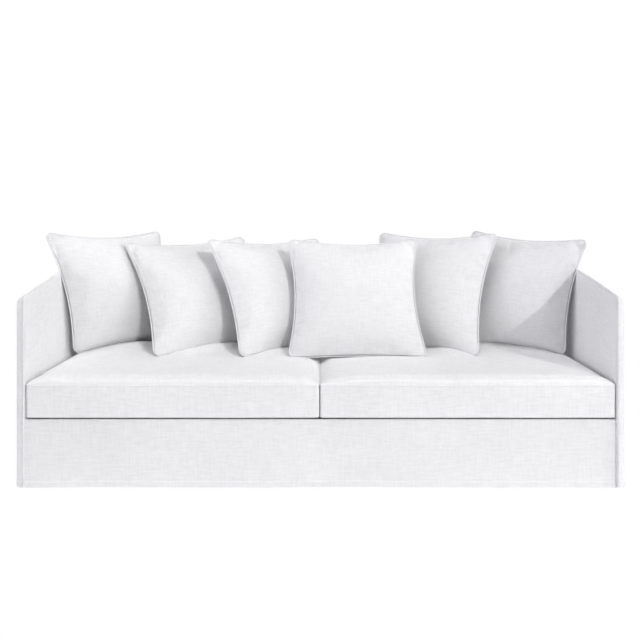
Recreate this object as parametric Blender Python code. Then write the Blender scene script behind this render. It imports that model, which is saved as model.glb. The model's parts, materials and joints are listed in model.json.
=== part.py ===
"""Fitted linen cover for a long sofa with slim arms, dressed with its two seat cushions and six
square pillows. Units are metres, +Z is up and the front looks towards -Y.

The origin is on the floor under the middle of the cover. A "depth" below is measured backwards
from the front of the skirt.
"""

import math

import bmesh
import bpy
from mathutils import Vector
from mathutils.bvhtree import BVHTree

# Driving dimensions of the frame cover
WIDTH = 2.30
DEPTH = 0.95
CLOTH = 0.002
GAP = 0.0003
INSIDE_HALF = 1.1065
RAIL_TOP = 0.2537
DECK_TOP = 0.2417
ARM_FRONT_TOP = 0.708
ARM_SLOPE = 0.17
ARM_EASE = 0.068
EDGE_ROUND = 0.034
CORNER_ROUND = 0.014
RAIL_ROUND = 0.008
RAIL_BACK = 0.016
RAIL_ROLL_END_DEG = 20
BACK_FOOT_DEPTH = 0.8585
BACK_TOP_DEPTH = 0.896
PANEL_EASE = 0.003
INNER_ARM_EASE = 0.0006
INNER_BACK_EASE = 0.006
SKIRT_HEIGHTS = (0.0, 0.03, 0.09, 0.16, 0.215)
ARM_HEIGHTS = (0.12, 0.30, 0.48, 0.62)
BACK_HEIGHTS = (0.12, 0.30, 0.48, 0.66)
ARM_FIRST_SLICE = 0.10
ARM_LAST_SLICE = 0.82
BACK_LAST_SLICE = 0.98

# The flange is the double edge of cloth that stands out along the seams of arms and back
FLANGE_THICK = 0.003
FLANGE_PROUD = 0.010
FLANGE_SEWN_IN = 0.012
FLANGE_HEM_LIFT = 0.003

# Seat cushions
SEAT_GAP = 0.004
SEAT_JOINT = -0.003
SEAT_FRONT = -0.004
SEAT_BACK = 0.855
SEAT_SEAM = 0.382
SEAT_CROWN = 0.026
SEAT_ROLL = 10
SEAT_RIPPLE = 0.0016
SEAT_PITCH = 0.024
SEAT_CORNER = 0.012
SEAT_OUTLINE_STEPS = (14, 10, 3)
SEAT_WAVE = 0.0012
SEAM_RIDGE = 0.0015
SEAM_HALF_WIDTH = 0.004
SEAT_BOTTOM_INSET = 0.085
SEAT_FOOT = (
    # height above the front rail, growth of the outline
    (0.0045, -0.022),
    (0.0125, -0.0065),
    (0.0225, -0.0015),
    (0.045, 0.0),
    (0.098, 0.001),
)
SEAT_TOP_SHARES = (0.990, 0.972, 0.945, 0.905, 0.84, 0.70, 0.40)

# Pillows
PILLOW_CELLS = 14
PILLOW_HALF_THICK = 0.084
PILLOW_DRAW_IN = 0.125
PILLOW_FOOT_DRAW_IN = 0.03
PILLOW_TIP_ROUND = 0.025
PILLOW_SLUMP = 0.16
PIPING_RADIUS = 0.003
PIPING_OFFSET = 0.0041
REST_GAP = 0.0004
REST_TRIES = 12

FRONT_Y = -(DEPTH - FLANGE_PROUD) / 2
HALF_WIDTH = WIDTH / 2
INNER_PANEL_OUT = INSIDE_HALF + CLOTH
FLANGE_IN = INNER_PANEL_OUT + GAP
FLANGE_OUT = FLANGE_IN + FLANGE_THICK
ARM_EDGE_IN = FLANGE_OUT + GAP
BACK_FLANGE_DEPTH = BACK_TOP_DEPTH + CLOTH + GAP
BACK_EDGE_DEPTH = BACK_FLANGE_DEPTH + FLANGE_THICK + GAP

LEFT, RIGHT = -1, 1
SIDE_NAMES = {LEFT: "left", RIGHT: "right"}

# Corners of each pillow as (x, depth, z), seen from the front
PILLOWS = (
    # name, bottom left, bottom right, top left, top right, ripple phase
    ("pillow_1", (-1.040, 0.305, 0.405), (-0.665, 0.725, 0.385),
     (-1.150, 0.265, 0.928), (-0.791, 0.750, 0.903), 0.3),
    ("pillow_2", (-0.712, 0.330, 0.405), (-0.210, 0.665, 0.400),
     (-0.898, 0.520, 0.876), (-0.388, 0.850, 0.880), 1.5),
    ("pillow_3", (-0.342, 0.310, 0.410), (0.150, 0.655, 0.400),
     (-0.520, 0.500, 0.898), (-0.012, 0.840, 0.876), 2.6),
    ("pillow_4", (-0.140, 0.325, 0.400), (0.456, 0.325, 0.404),
     (-0.155, 0.545, 0.886), (0.444, 0.545, 0.886), 3.9),
    ("pillow_5", (0.185, 0.665, 0.400), (0.675, 0.330, 0.408),
     (0.298, 0.840, 0.902), (0.809, 0.510, 0.922), 4.4),
    ("pillow_6", (0.630, 0.725, 0.390), (1.030, 0.300, 0.402),
     (0.750, 0.780, 0.910), (1.149, 0.345, 0.897), 5.7),
)

LINEN_LOOKS = {
    "frame": ((0.86, 0.86, 0.88, 1.0), 0.92),
    "seat": ((0.88, 0.88, 0.90, 1.0), 0.92),
    "pillow": ((0.89, 0.89, 0.91, 1.0), 0.90),
    "piping": ((0.90, 0.90, 0.91, 1.0), 0.88),
}


def clear_scene():
    for obj in list(bpy.data.objects):
        bpy.data.objects.remove(obj, do_unlink=True)


def at(x, depth, z):
    """A point given by its depth behind the front of the skirt."""
    return Vector((x, FRONT_Y + depth, z))


def arm_top(depth):
    """Height of the arm's upper seam, which rises in a soft curve towards the back."""
    reach = min(max(depth, 0.0), BACK_EDGE_DEPTH)
    return ARM_FRONT_TOP + ARM_SLOPE * reach - ARM_EASE * reach * reach


BACK_TOP = arm_top(BACK_EDGE_DEPTH)


def ease_wave(along, height, phase):
    """Slight fullness of washed cloth, as a share from -1 to 1 that fades at the seams."""
    broad = math.sin(5.3 * along + phase) * 0.6
    fine = math.sin(12.7 * along + 2.0 * phase + 2.2 * height) * 0.4
    return broad + fine


def linen(name, look):
    colour, roughness = LINEN_LOOKS[look]
    material = bpy.data.materials.new(name)
    material.use_nodes = True
    shader = material.node_tree.nodes["Principled BSDF"]
    shader.inputs["Base Color"].default_value = colour
    shader.inputs["Roughness"].default_value = roughness
    shader.inputs["Metallic"].default_value = 0.0
    material.diffuse_color = colour
    return material


def finish_object(name, bm, look):
    """Turns a bmesh into a smooth-shaded object with its own material."""
    mesh = bpy.data.meshes.new(name)
    bm.to_mesh(mesh)
    bm.free()
    mesh.shade_smooth()
    mesh.set_sharp_from_angle(angle=math.radians(50))
    obj = bpy.data.objects.new(name, mesh)
    mesh.materials.append(linen(name, look))
    bpy.context.scene.collection.objects.link(obj)
    return obj


def face_outwards(bm):
    """Turns the faces of a closed form outwards."""
    bmesh.ops.recalc_face_normals(bm, faces=bm.faces[:])
    if bm.calc_volume(signed=True) < 0:
        bmesh.ops.reverse_faces(bm, faces=bm.faces[:])


def thicken(obj, inwards=True):
    """Gives a surface the thickness of the cloth, behind or in front of its faces."""
    solidify = obj.modifiers.new("Cloth thickness", "SOLIDIFY")
    solidify.thickness = CLOTH
    solidify.offset = -1.0 if inwards else 1.0
    solidify.use_even_offset = True


def grid_surface(rows):
    """A bmesh of quads through rows of points, each row as long as the first."""
    bm = bmesh.new()
    verts = [[bm.verts.new(point) for point in row] for row in rows]
    for lower, upper in zip(verts, verts[1:]):
        for k in range(len(lower) - 1):
            bm.faces.new((lower[k], lower[k + 1], upper[k + 1], upper[k]))
    return bm


def spread(start, end, count):
    """Even steps from start to end, with both ends."""
    return [start + (end - start) * k / count for k in range(count + 1)]


def arc(centre_a, centre_b, radius, start_deg, end_deg, steps):
    """Points of an arc in a plane, as pairs."""
    turns = [math.radians(angle) for angle in spread(start_deg, end_deg, steps)]
    return [(centre_a + radius * math.cos(t), centre_b + radius * math.sin(t)) for t in turns]


# ---------------------------------------------------------------- frame cover


def front_skirt():
    """The front panel, from the hem up over the round front rail and down to the deck."""
    columns = spread(-INNER_PANEL_OUT, INNER_PANEL_OUT, 36)
    profile = [(0.0, z, 1.0 - z / RAIL_TOP) for z in SKIRT_HEIGHTS]
    roll = arc(RAIL_ROUND, RAIL_TOP - RAIL_ROUND, RAIL_ROUND, 180, RAIL_ROLL_END_DEG, 5)
    profile += [(depth, z, 0.0) for depth, z in roll]
    profile.append((RAIL_BACK, DECK_TOP - CLOTH, 0.0))
    rows = []
    for depth, z, fullness in profile:
        row = []
        for x in columns:
            fade = 1.0 - (abs(x) / INNER_PANEL_OUT) ** 6
            sway = PANEL_EASE * fullness * fade * (1.0 + ease_wave(x, z, 0.4))
            row.append(at(x, depth + sway, z))
        rows.append(row)
    obj = finish_object("front_skirt", grid_surface(rows), "frame")
    thicken(obj)


def seat_deck():
    """The flat cloth under the seat cushions, a little lower than the front rail."""
    front = RAIL_BACK + GAP
    back = BACK_FOOT_DEPTH - GAP
    half = INNER_PANEL_OUT - GAP
    rows = [[at(x, depth, DECK_TOP) for x in (-half, half)] for depth in (front, back)]
    thicken(finish_object("seat_deck", grid_surface(rows), "frame"))


def inner_arm(side):
    """The arm's inner panel, from the front rail and the deck to the upper seam."""
    behind_rail = RAIL_BACK + GAP
    depths = [0.0, CORNER_ROUND / 3, CORNER_ROUND, behind_rail]
    depths += [behind_rail + CLOTH] + spread(ARM_FIRST_SLICE, BACK_FLANGE_DEPTH, 8)
    rows = []
    for share in spread(0.0, 1.0, 5):
        row = []
        for depth in depths:
            dip = max(CORNER_ROUND - depth, 0.0)
            rounding = CORNER_ROUND - math.sqrt(CORNER_ROUND**2 - dip**2)
            top = arm_top(depth) - rounding
            foot = GAP + (DECK_TOP if depth > behind_rail else RAIL_TOP)
            z = foot + (top - foot) * share
            sag = math.sin(math.pi * share) * math.sin(math.pi * depth / BACK_TOP_DEPTH)
            row.append(at(side * (INSIDE_HALF + INNER_ARM_EASE * sag), depth, z))
        rows.append(row)
    bm = grid_surface(rows)
    if side == LEFT:
        bmesh.ops.reverse_faces(bm, faces=bm.faces[:])
    obj = finish_object(f"inner_arm_{SIDE_NAMES[side]}", bm, "frame")
    inner_faces_look = obj.data.polygons[0].normal.x * side < 0
    thicken(obj, inwards=inner_faces_look)


def slice_block(bm, axis, places):
    """Cuts edge loops through a block at places along one axis."""
    normal = [0.0, 0.0, 0.0]
    normal[axis] = 1.0
    for place in places:
        point = [0.0, 0.0, 0.0]
        point[axis] = place
        geometry = bm.verts[:] + bm.edges[:] + bm.faces[:]
        bmesh.ops.bisect_plane(bm, geom=geometry, plane_co=point, plane_no=normal)


def block(low, high):
    """A bmesh box between two corners."""
    bm = bmesh.new()
    bmesh.ops.create_cube(bm, size=1.0)
    for vert in bm.verts:
        vert.co = Vector(high[i] if vert.co[i] > 0 else low[i] for i in range(3))
    return bm


def remove_faces(bm, unwanted):
    faces = [face for face in bm.faces if unwanted(face)]
    bmesh.ops.delete(bm, geom=faces, context="FACES")


def weigh_edges(bm, weight_of):
    """Marks edges for the Bevel modifier. weight_of gets an edge's two ends."""
    layer = bm.edges.layers.float.new("bevel_weight_edge")
    for edge in bm.edges:
        edge[layer] = weight_of(*(vert.co for vert in edge.verts))


def round_edges(obj, radius, segments):
    bevel = obj.modifiers.new("Rounded edge", "BEVEL")
    bevel.limit_method = "WEIGHT"
    bevel.width = radius
    bevel.segments = segments
    bevel.use_clamp_overlap = True


def outer_arm(side):
    """The arm's outer panel, wrapped over the rounded top and round the slim front."""
    low_x, high_x = sorted((side * ARM_EDGE_IN, side * HALF_WIDTH))
    back_y = FRONT_Y + BACK_EDGE_DEPTH - GAP
    bm = block((low_x, FRONT_Y, 0.0), (high_x, back_y, ARM_FRONT_TOP))
    depths = spread(ARM_FIRST_SLICE, ARM_LAST_SLICE, 6)
    slice_block(bm, 1, [FRONT_Y + depth for depth in depths])
    slice_block(bm, 2, ARM_HEIGHTS)
    for vert in bm.verts:
        if vert.co.z > ARM_FRONT_TOP - GAP:
            vert.co.z = arm_top(vert.co.y - FRONT_Y)
    bm.normal_update()
    remove_faces(
        bm,
        lambda face: face.normal.x * side < -0.9
        or face.normal.z < -0.9
        or face.normal.y > 0.9,
    )

    def is_outer(point):
        return abs(point.x - side * HALF_WIDTH) < GAP

    def is_front(point):
        return abs(point.y - FRONT_Y) < GAP

    def is_top(point):
        return point.z > arm_top(point.y - FRONT_Y) - GAP

    def weight(a, b):
        if is_outer(a) and is_outer(b):
            if (is_front(a) and is_front(b)) or (is_top(a) and is_top(b)):
                return 1.0
        if is_front(a) and is_front(b) and is_top(a) and is_top(b):
            return CORNER_ROUND / EDGE_ROUND
        return 0.0

    weigh_edges(bm, weight)
    for vert in bm.verts:
        depth = vert.co.y - FRONT_Y
        inside_panel = is_outer(vert.co) and not is_front(vert.co) and not is_top(vert.co)
        if inside_panel and depth < ARM_LAST_SLICE + CLOTH:
            fullness = 1.0 - vert.co.z / ARM_FRONT_TOP
            wave = ease_wave(depth, vert.co.z, 1.1)
            vert.co.x -= side * PANEL_EASE * fullness * (1.0 + wave)
    obj = finish_object(f"outer_arm_{SIDE_NAMES[side]}", bm, "frame")
    round_edges(obj, EDGE_ROUND, 4)
    thicken(obj)


def inner_back():
    """The inner back panel, which leans back from the deck to the upper seam."""
    foot = DECK_TOP + GAP
    half = INSIDE_HALF - GAP
    rows = []
    for share in spread(0.0, 1.0, 5):
        row = []
        for x in spread(-half, half, 14):
            lean = BACK_FOOT_DEPTH + (BACK_TOP_DEPTH - BACK_FOOT_DEPTH) * share
            fullness = math.sin(math.pi * share) * math.cos(0.5 * math.pi * x / half)
            z = foot + (BACK_TOP - foot) * share
            row.append(at(x, lean - INNER_BACK_EASE * fullness, z))
        rows.append(row)
    thicken(finish_object("inner_back", grid_surface(rows), "frame"))


def outer_back():
    """The outer back panel, wrapped over the rounded top and round both rear corners."""
    front_y = FRONT_Y + BACK_EDGE_DEPTH
    back_y = FRONT_Y + DEPTH
    bm = block((-HALF_WIDTH, front_y, 0.0), (HALF_WIDTH, back_y, BACK_TOP))
    slice_block(bm, 0, spread(-BACK_LAST_SLICE, BACK_LAST_SLICE, 14))
    slice_block(bm, 2, BACK_HEIGHTS)
    bm.normal_update()
    remove_faces(bm, lambda face: face.normal.y < -0.9 or face.normal.z < -0.9)

    def is_rear(point):
        return abs(point.y - back_y) < GAP

    def is_side(point):
        return abs(abs(point.x) - HALF_WIDTH) < GAP

    def is_top(point):
        return point.z > BACK_TOP - GAP

    def weight(a, b):
        shared = (
            is_rear(a) and is_rear(b),
            is_side(a) and is_side(b),
            is_top(a) and is_top(b),
        )
        return 1.0 if sum(shared) > 1 else 0.0

    weigh_edges(bm, weight)
    for vert in bm.verts:
        if is_rear(vert.co) and not is_side(vert.co) and not is_top(vert.co):
            fullness = 1.0 - vert.co.z / BACK_TOP
            wave = ease_wave(vert.co.x, vert.co.z, 2.7)
            vert.co.y -= PANEL_EASE * fullness * (1.0 + wave)
    obj = finish_object("outer_back", bm, "frame")
    round_edges(obj, EDGE_ROUND, 4)
    thicken(obj)


def arm_seam_path(shift):
    """The arm's seam line from hem to back in (depth, z), moved outwards by shift."""
    radius = CORNER_ROUND + shift
    centre_z = ARM_FRONT_TOP - CORNER_ROUND + ARM_SLOPE * CORNER_ROUND
    points = [(-shift, FLANGE_HEM_LIFT), (-shift, 0.30)]
    points += arc(CORNER_ROUND, centre_z, radius, 180, 100, 5)
    for depth in spread(0.06, BACK_EDGE_DEPTH - GAP, 8):
        points.append((depth, arm_top(depth) + shift))
    return points


def arm_flange(side):
    """The standing seam up the arm's front and back along its top."""
    outside = arm_seam_path(FLANGE_PROUD)
    inside = arm_seam_path(-FLANGE_SEWN_IN)
    bm = bmesh.new()
    near, far = side * FLANGE_IN, side * FLANGE_OUT
    rings = []
    for (out_depth, out_z), (in_depth, in_z) in zip(outside, inside):
        corners = ((near, out_depth, out_z), (far, out_depth, out_z),
                   (far, in_depth, in_z), (near, in_depth, in_z))
        rings.append([bm.verts.new(at(*corner)) for corner in corners])
    for first, second in zip(rings, rings[1:]):
        for k in range(4):
            bm.faces.new((first[k], first[k - 1], second[k - 1], second[k]))
    bm.faces.new(rings[0])
    bm.faces.new(reversed(rings[-1]))
    face_outwards(bm)
    finish_object(f"arm_flange_{SIDE_NAMES[side]}", bm, "frame")


def back_flange():
    """The standing seam along the top of the back."""
    half = INSIDE_HALF - GAP
    low = (-half, FRONT_Y + BACK_FLANGE_DEPTH, BACK_TOP - FLANGE_SEWN_IN)
    high = (half, FRONT_Y + BACK_FLANGE_DEPTH + FLANGE_THICK, BACK_TOP + FLANGE_PROUD)
    finish_object("back_flange", block(low, high), "frame")


# ---------------------------------------------------------------- seat cushions


def rounded_rectangle(half_x, half_y, radius, long_steps, short_steps, corner_steps):
    """Points round a rectangle with round corners, anticlockwise from the front right."""
    corners = ((1, -1, -90), (1, 1, 0), (-1, 1, 90), (-1, -1, 180))
    turns = [
        arc(sx * (half_x - radius), sy * (half_y - radius), radius, start, start + 90, corner_steps)
        for sx, sy, start in corners
    ]
    points = []
    for k, turn in enumerate(turns):
        following = turns[(k + 1) % len(turns)]
        steps = long_steps if k % 2 else short_steps
        (start_x, start_y), (end_x, end_y) = turn[-1], following[0]
        points += turn
        points += list(zip(spread(start_x, end_x, steps), spread(start_y, end_y, steps)))[1:-1]
    return points


def seat_height(across, along, phase):
    """Top of a seat cushion, from its shares of the half width and half depth."""
    dome = math.sqrt(max((1 - abs(across) ** SEAT_ROLL) * (1 - abs(along) ** SEAT_ROLL), 0.0))
    ripple = SEAT_RIPPLE * dome * ease_wave(2.0 * across, 3.0 * along, phase)
    return SEAT_CROWN * dome + ripple


def seat_cushion(side):
    """A boxed cushion with a crowned top, a raised top seam and slightly full walls."""
    inner_x = SEAT_GAP / 2 + side * SEAT_JOINT
    outer_x = INSIDE_HALF - SEAT_GAP / 2
    half_x = (outer_x - inner_x) / 2
    half_y = (SEAT_BACK - SEAT_FRONT) / 2
    centre_x = side * (inner_x + outer_x) / 2
    centre_depth = (SEAT_FRONT + SEAT_BACK) / 2
    bottom = DECK_TOP + GAP
    outline = rounded_rectangle(half_x, half_y, SEAT_CORNER, *SEAT_OUTLINE_STEPS)
    wall_rows = [(bottom, -SEAT_BOTTOM_INSET)]
    wall_rows += [(RAIL_TOP + above, growth) for above, growth in SEAT_FOOT]
    wall_rows += [(SEAT_SEAM - SEAM_HALF_WIDTH, 0.0), (SEAT_SEAM, SEAM_RIDGE)]
    bm = bmesh.new()
    rings = []

    def tilt(depth):
        return -SEAT_PITCH * depth

    def wave(x, y):
        return SEAT_WAVE * ease_wave(x + 0.3 * side, y, 1.0 + side)

    for height, growth in wall_rows:
        ring = []
        lift = (height - bottom) / (SEAT_SEAM - bottom)
        for x, y in outline:
            px = x + growth * x / half_x
            py = y + growth * y / half_y
            z = height + lift * (tilt(centre_depth + py) + wave(x, y))
            ring.append(bm.verts.new(at(centre_x + px, centre_depth + py, z)))
        rings.append(ring)
    for share in SEAT_TOP_SHARES:
        ring = []
        for x, y in outline:
            px, py = x * share, y * share
            z = SEAT_SEAM + tilt(centre_depth + py) + wave(x, y) * share**8
            z += seat_height(px / half_x, py / half_y, 0.7 * side)
            ring.append(bm.verts.new(at(centre_x + px, centre_depth + py, z)))
        rings.append(ring)
    count = len(outline)
    for lower, upper in zip(rings, rings[1:]):
        for k in range(count):
            following = (k + 1) % count
            bm.faces.new((lower[k], lower[following], upper[following], upper[k]))
    peak = SEAT_SEAM + tilt(centre_depth) + seat_height(0.0, 0.0, 0.7 * side)
    crown = bm.verts.new(at(centre_x, centre_depth, peak))
    for k in range(count):
        bm.faces.new((rings[-1][k], rings[-1][(k + 1) % count], crown))
    bm.faces.new(reversed(rings[0]))
    face_outwards(bm)
    return finish_object(f"seat_cushion_{SIDE_NAMES[side]}", bm, "seat")


# ---------------------------------------------------------------- pillows


def pillow_shares():
    """Places from edge to edge, from -1 to 1, closer together near the seams."""
    return [math.sin(0.5 * math.pi * s) for s in spread(-1.0, 1.0, PILLOW_CELLS)]


def pillow_middle(corners, u, v):
    """A point of the seam plane, with sides drawn in between the rounded tips."""
    tip = PILLOW_TIP_ROUND * abs(u * v) ** 12
    du = u * (1 - PILLOW_DRAW_IN * (1 - v * v) - tip)
    draw_in = PILLOW_DRAW_IN if v > 0 else PILLOW_FOOT_DRAW_IN
    dv = v * (1 - draw_in * (1 - u * u) - tip)
    bottom_left, bottom_right, top_left, top_right = corners
    across, up = (1 + du) / 2, (1 + dv) / 2
    low = bottom_left.lerp(bottom_right, across)
    high = top_left.lerp(top_right, across)
    return low.lerp(high, up)


def pillow_normal(corners):
    """The direction in which the front of a pillow looks."""
    bottom_left, bottom_right, top_left, top_right = corners
    normal = (top_right - bottom_left).cross(top_left - bottom_right)
    return -normal.normalized() if normal.y > 0 else normal.normalized()


def pillow_thickness(u, v, phase):
    """Half of the filled thickness, fullest a little below the middle."""
    dome = max((1 - u * u) * (1 - v * v), 0.0) ** 0.56
    slump = 1 - PILLOW_SLUMP * v
    dent = 1 + 0.05 * math.sin(3.1 * u + phase) * math.cos(2.7 * v - phase)
    return PILLOW_HALF_THICK * dome * slump * dent


def pillow(name, corners, phase):
    """One filled form: a front and a back that meet along the seam."""
    shares = pillow_shares()
    last = len(shares) - 1
    normal = pillow_normal(corners)
    bm = bmesh.new()
    front, back = [], []
    for j, v in enumerate(shares):
        front_row, back_row = [], []
        for i, u in enumerate(shares):
            middle = pillow_middle(corners, u, v)
            foot = pillow_middle(corners, u, -1.0).z
            if i in (0, last) or j in (0, last):
                seam = bm.verts.new(middle)
                front_row.append(seam)
                back_row.append(seam)
                continue
            offset = normal * pillow_thickness(u, v, phase)
            for row, place in ((front_row, middle + offset), (back_row, middle - offset)):
                place.z = max(place.z, foot)
                row.append(bm.verts.new(place))
        front.append(front_row)
        back.append(back_row)
    for j in range(last):
        for i in range(last):
            for rows, step in ((front, 1), (back, -1)):
                cell = (rows[j][i], rows[j][i + 1], rows[j + 1][i + 1], rows[j + 1][i])
                bm.faces.new(cell[::step])
    face_outwards(bm)
    return finish_object(name, bm, "pillow")


def pillow_piping(name, corners):
    """A covered cord sewn into the pillow's seam all the way round."""
    shares = pillow_shares()
    loop = [(u, -1.0) for u in shares[:-1]]
    loop += [(1.0, v) for v in shares[:-1]]
    loop += [(u, 1.0) for u in reversed(shares[1:])]
    loop += [(-1.0, v) for v in reversed(shares[1:])]
    points = [pillow_middle(corners, u, v) for u, v in loop]
    normal = pillow_normal(corners)
    curve = bpy.data.curves.new(name, "CURVE")
    curve.dimensions = "3D"
    curve.bevel_depth = PIPING_RADIUS
    curve.bevel_resolution = 1
    spline = curve.splines.new("POLY")
    spline.points.add(len(points) - 1)
    for k, point in enumerate(points):
        along = (points[(k + 1) % len(points)] - points[k - 1]).normalized()
        outwards = along.cross(normal)
        if outwards.dot(point - sum(points, Vector()) / len(points)) < 0:
            outwards.negate()
        place = point + outwards.normalized() * PIPING_OFFSET
        spline.points[k].co = (*place, 1.0)
    spline.use_cyclic_u = True
    curve.materials.append(linen(name, "piping"))
    obj = bpy.data.objects.new(name, curve)
    bpy.context.scene.collection.objects.link(obj)
    return obj


def surface_tree(objects):
    """One search tree over the evaluated meshes of several objects."""
    graph = bpy.context.evaluated_depsgraph_get()
    points, faces = [], []
    for obj in objects:
        evaluated = obj.evaluated_get(graph)
        mesh = evaluated.to_mesh()
        start = len(points)
        points += [obj.matrix_world @ vert.co for vert in mesh.vertices]
        mesh.calc_loop_triangles()
        faces += [[start + k for k in triangle.vertices] for triangle in mesh.loop_triangles]
        evaluated.to_mesh_clear()
    return points, BVHTree.FromPolygons(points, faces)


def rest_on(pieces, carriers):
    """Lowers or lifts pieces together until they lie just clear of what carries them."""
    bpy.context.view_layer.update()
    points, tree = surface_tree(pieces)
    carrier_points, carrier_tree = surface_tree(carriers)
    far = 1.0
    clear = []
    for point in points:
        hit = carrier_tree.ray_cast(point + Vector((0, 0, far)), Vector((0, 0, -1)))[0]
        if hit:
            clear.append(point.z - hit.z)
    for point in carrier_points:
        hit = tree.ray_cast(point - Vector((0, 0, far)), Vector((0, 0, 1)))[0]
        if hit:
            clear.append(hit.z - point.z)
    lift = REST_GAP - min(clear)
    for _ in range(REST_TRIES):
        for piece in pieces:
            piece.location.z += lift
        bpy.context.view_layer.update()
        if not surface_tree(pieces)[1].overlap(carrier_tree):
            break
        lift = REST_GAP


def main():
    clear_scene()
    front_skirt()
    seat_deck()
    inner_back()
    outer_back()
    back_flange()
    for side in (LEFT, RIGHT):
        inner_arm(side)
        outer_arm(side)
        arm_flange(side)
    seats = [seat_cushion(side) for side in (LEFT, RIGHT)]
    for name, *places, phase in PILLOWS:
        corners = [at(*place) for place in places]
        body = pillow(name, corners, phase)
        piping = pillow_piping(f"{name}_piping", corners)
        rest_on([body, piping], seats)


main()
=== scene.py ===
"""Looks of a fitted linen cover for a long slim-armed sofa, dressed with its cushions.

The frame cover is made of thin sheets of washed linen with standing double seams, the two seat
cushions are boxed and softly crowned, and the six square pillows are filled, slumped and piped.
Units are metres, +Z is up and the front looks towards -Y. A "depth" is measured backwards from the
front of the skirt, as the maker of the cover would measure it.
"""

import json
import logging
import math
from dataclasses import dataclass, field
from enum import Enum
from typing import Callable, Sequence, Union

import bmesh
import bpy
import numpy as np
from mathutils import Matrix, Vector

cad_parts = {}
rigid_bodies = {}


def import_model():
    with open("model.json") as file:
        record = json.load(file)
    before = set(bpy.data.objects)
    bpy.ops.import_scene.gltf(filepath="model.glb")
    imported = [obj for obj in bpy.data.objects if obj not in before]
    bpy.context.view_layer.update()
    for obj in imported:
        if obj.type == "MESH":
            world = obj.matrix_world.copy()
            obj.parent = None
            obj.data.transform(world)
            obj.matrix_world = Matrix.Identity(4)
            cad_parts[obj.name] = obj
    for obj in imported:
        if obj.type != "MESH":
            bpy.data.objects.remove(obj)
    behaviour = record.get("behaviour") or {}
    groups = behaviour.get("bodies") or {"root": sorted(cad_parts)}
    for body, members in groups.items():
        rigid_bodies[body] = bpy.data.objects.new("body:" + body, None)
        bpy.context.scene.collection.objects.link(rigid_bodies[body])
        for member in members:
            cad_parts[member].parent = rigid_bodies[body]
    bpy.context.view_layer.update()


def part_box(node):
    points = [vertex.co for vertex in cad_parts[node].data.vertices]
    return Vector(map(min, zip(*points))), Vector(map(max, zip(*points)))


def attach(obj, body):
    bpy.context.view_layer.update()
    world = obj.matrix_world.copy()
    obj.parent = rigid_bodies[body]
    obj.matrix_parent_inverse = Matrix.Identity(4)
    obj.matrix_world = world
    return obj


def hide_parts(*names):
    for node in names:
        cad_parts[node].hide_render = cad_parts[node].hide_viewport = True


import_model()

LOG = logging.getLogger("slipcover")
BODY = "root"
CLOTH_MAP = "cloth"
SEAM_GROUP = "seam"
TINY = 1e-6

Array = np.ndarray
Object = bpy.types.Object
Socket = bpy.types.NodeSocket
Tree = bpy.types.NodeTree
Point = tuple[float, float, float]
Surface = Callable[[Array, Array], Array]
Input = Union[Socket, float, Sequence[float]]


class Side(Enum):
    """The two ends of the sofa, seen from the front."""

    LEFT = -1
    RIGHT = 1

    @property
    def word(self) -> str:
        """The side's word in the names of nodes and pieces."""
        return self.name.lower()


class Slot(Enum):
    """Material slots of the record."""

    FRAME = "frame_linen"
    SEAT = "seat_linen"
    PILLOW = "pillow_linen"
    PIPING = "piping_linen"


@dataclass(frozen=True)
class CoverSizes:
    """Driving dimensions of the frame cover, the same as those of its solids."""

    width: float = 2.30
    depth: float = 0.95
    cloth: float = 0.002
    gap: float = 0.0003
    inside_half: float = 1.1065
    rail_top: float = 0.2537
    deck_top: float = 0.2417
    rail_back: float = 0.016
    rail_round: float = 0.008
    arm_front_top: float = 0.708
    arm_slope: float = 0.17
    arm_ease: float = 0.068
    edge_round: float = 0.034
    corner_round: float = 0.014
    back_foot_depth: float = 0.8585
    back_top_depth: float = 0.896
    flange_thick: float = 0.003
    flange_proud: float = 0.010
    flange_sewn_in: float = 0.012
    hem_height: float = 0.022

    @property
    def front_y(self) -> float:
        """Y of the front of the skirt."""
        return -(self.depth - self.flange_proud) / 2

    @property
    def half_width(self) -> float:
        """Half of the overall width."""
        return self.width / 2

    @property
    def panel_out(self) -> float:
        """Outer face of the inner arm's cloth."""
        return self.inside_half + self.cloth

    @property
    def flange_in(self) -> float:
        """Inner face of the standing seam."""
        return self.panel_out + self.gap

    @property
    def arm_edge_in(self) -> float:
        """Inner edge of the outer arm's cloth."""
        return self.flange_in + self.flange_thick + self.gap

    @property
    def back_flange_depth(self) -> float:
        """Front face of the standing seam on the back."""
        return self.back_top_depth + self.cloth + self.gap

    @property
    def back_edge_depth(self) -> float:
        """Front edge of the outer back's cloth."""
        return self.back_flange_depth + self.flange_thick + self.gap

    def arm_top(self, depth: Array) -> Array:
        """Height of the arm's upper seam at some depths."""
        reach = np.clip(depth, 0.0, self.back_edge_depth)
        return self.arm_front_top + self.arm_slope * reach - self.arm_ease * reach * reach

    @property
    def back_top(self) -> float:
        """Height of the back's upper seam."""
        return float(self.arm_top(np.array(self.back_edge_depth)))


SIZES = CoverSizes()


# ------------------------------------------------------------------ small tools


def spread(start: float, end: float, step: float) -> Array:
    """Even places from start to end, about a step apart, with both ends."""
    return np.linspace(start, end, max(int(round(abs(end - start) / step)), 1) + 1)


def at(x: Array, depth: Array, z: Array) -> Array:
    """Points from their place across, their depth behind the skirt's front and their height."""
    return np.stack(np.broadcast_arrays(x, depth + SIZES.front_y, z), axis=-1).astype(float)


def soft_step(value: Array, low: float, high: float) -> Array:
    """A smooth rise from 0 at low to 1 at high."""
    share = np.clip((value - low) / (high - low), 0.0, 1.0)
    return share * share * (3.0 - 2.0 * share)


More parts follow.
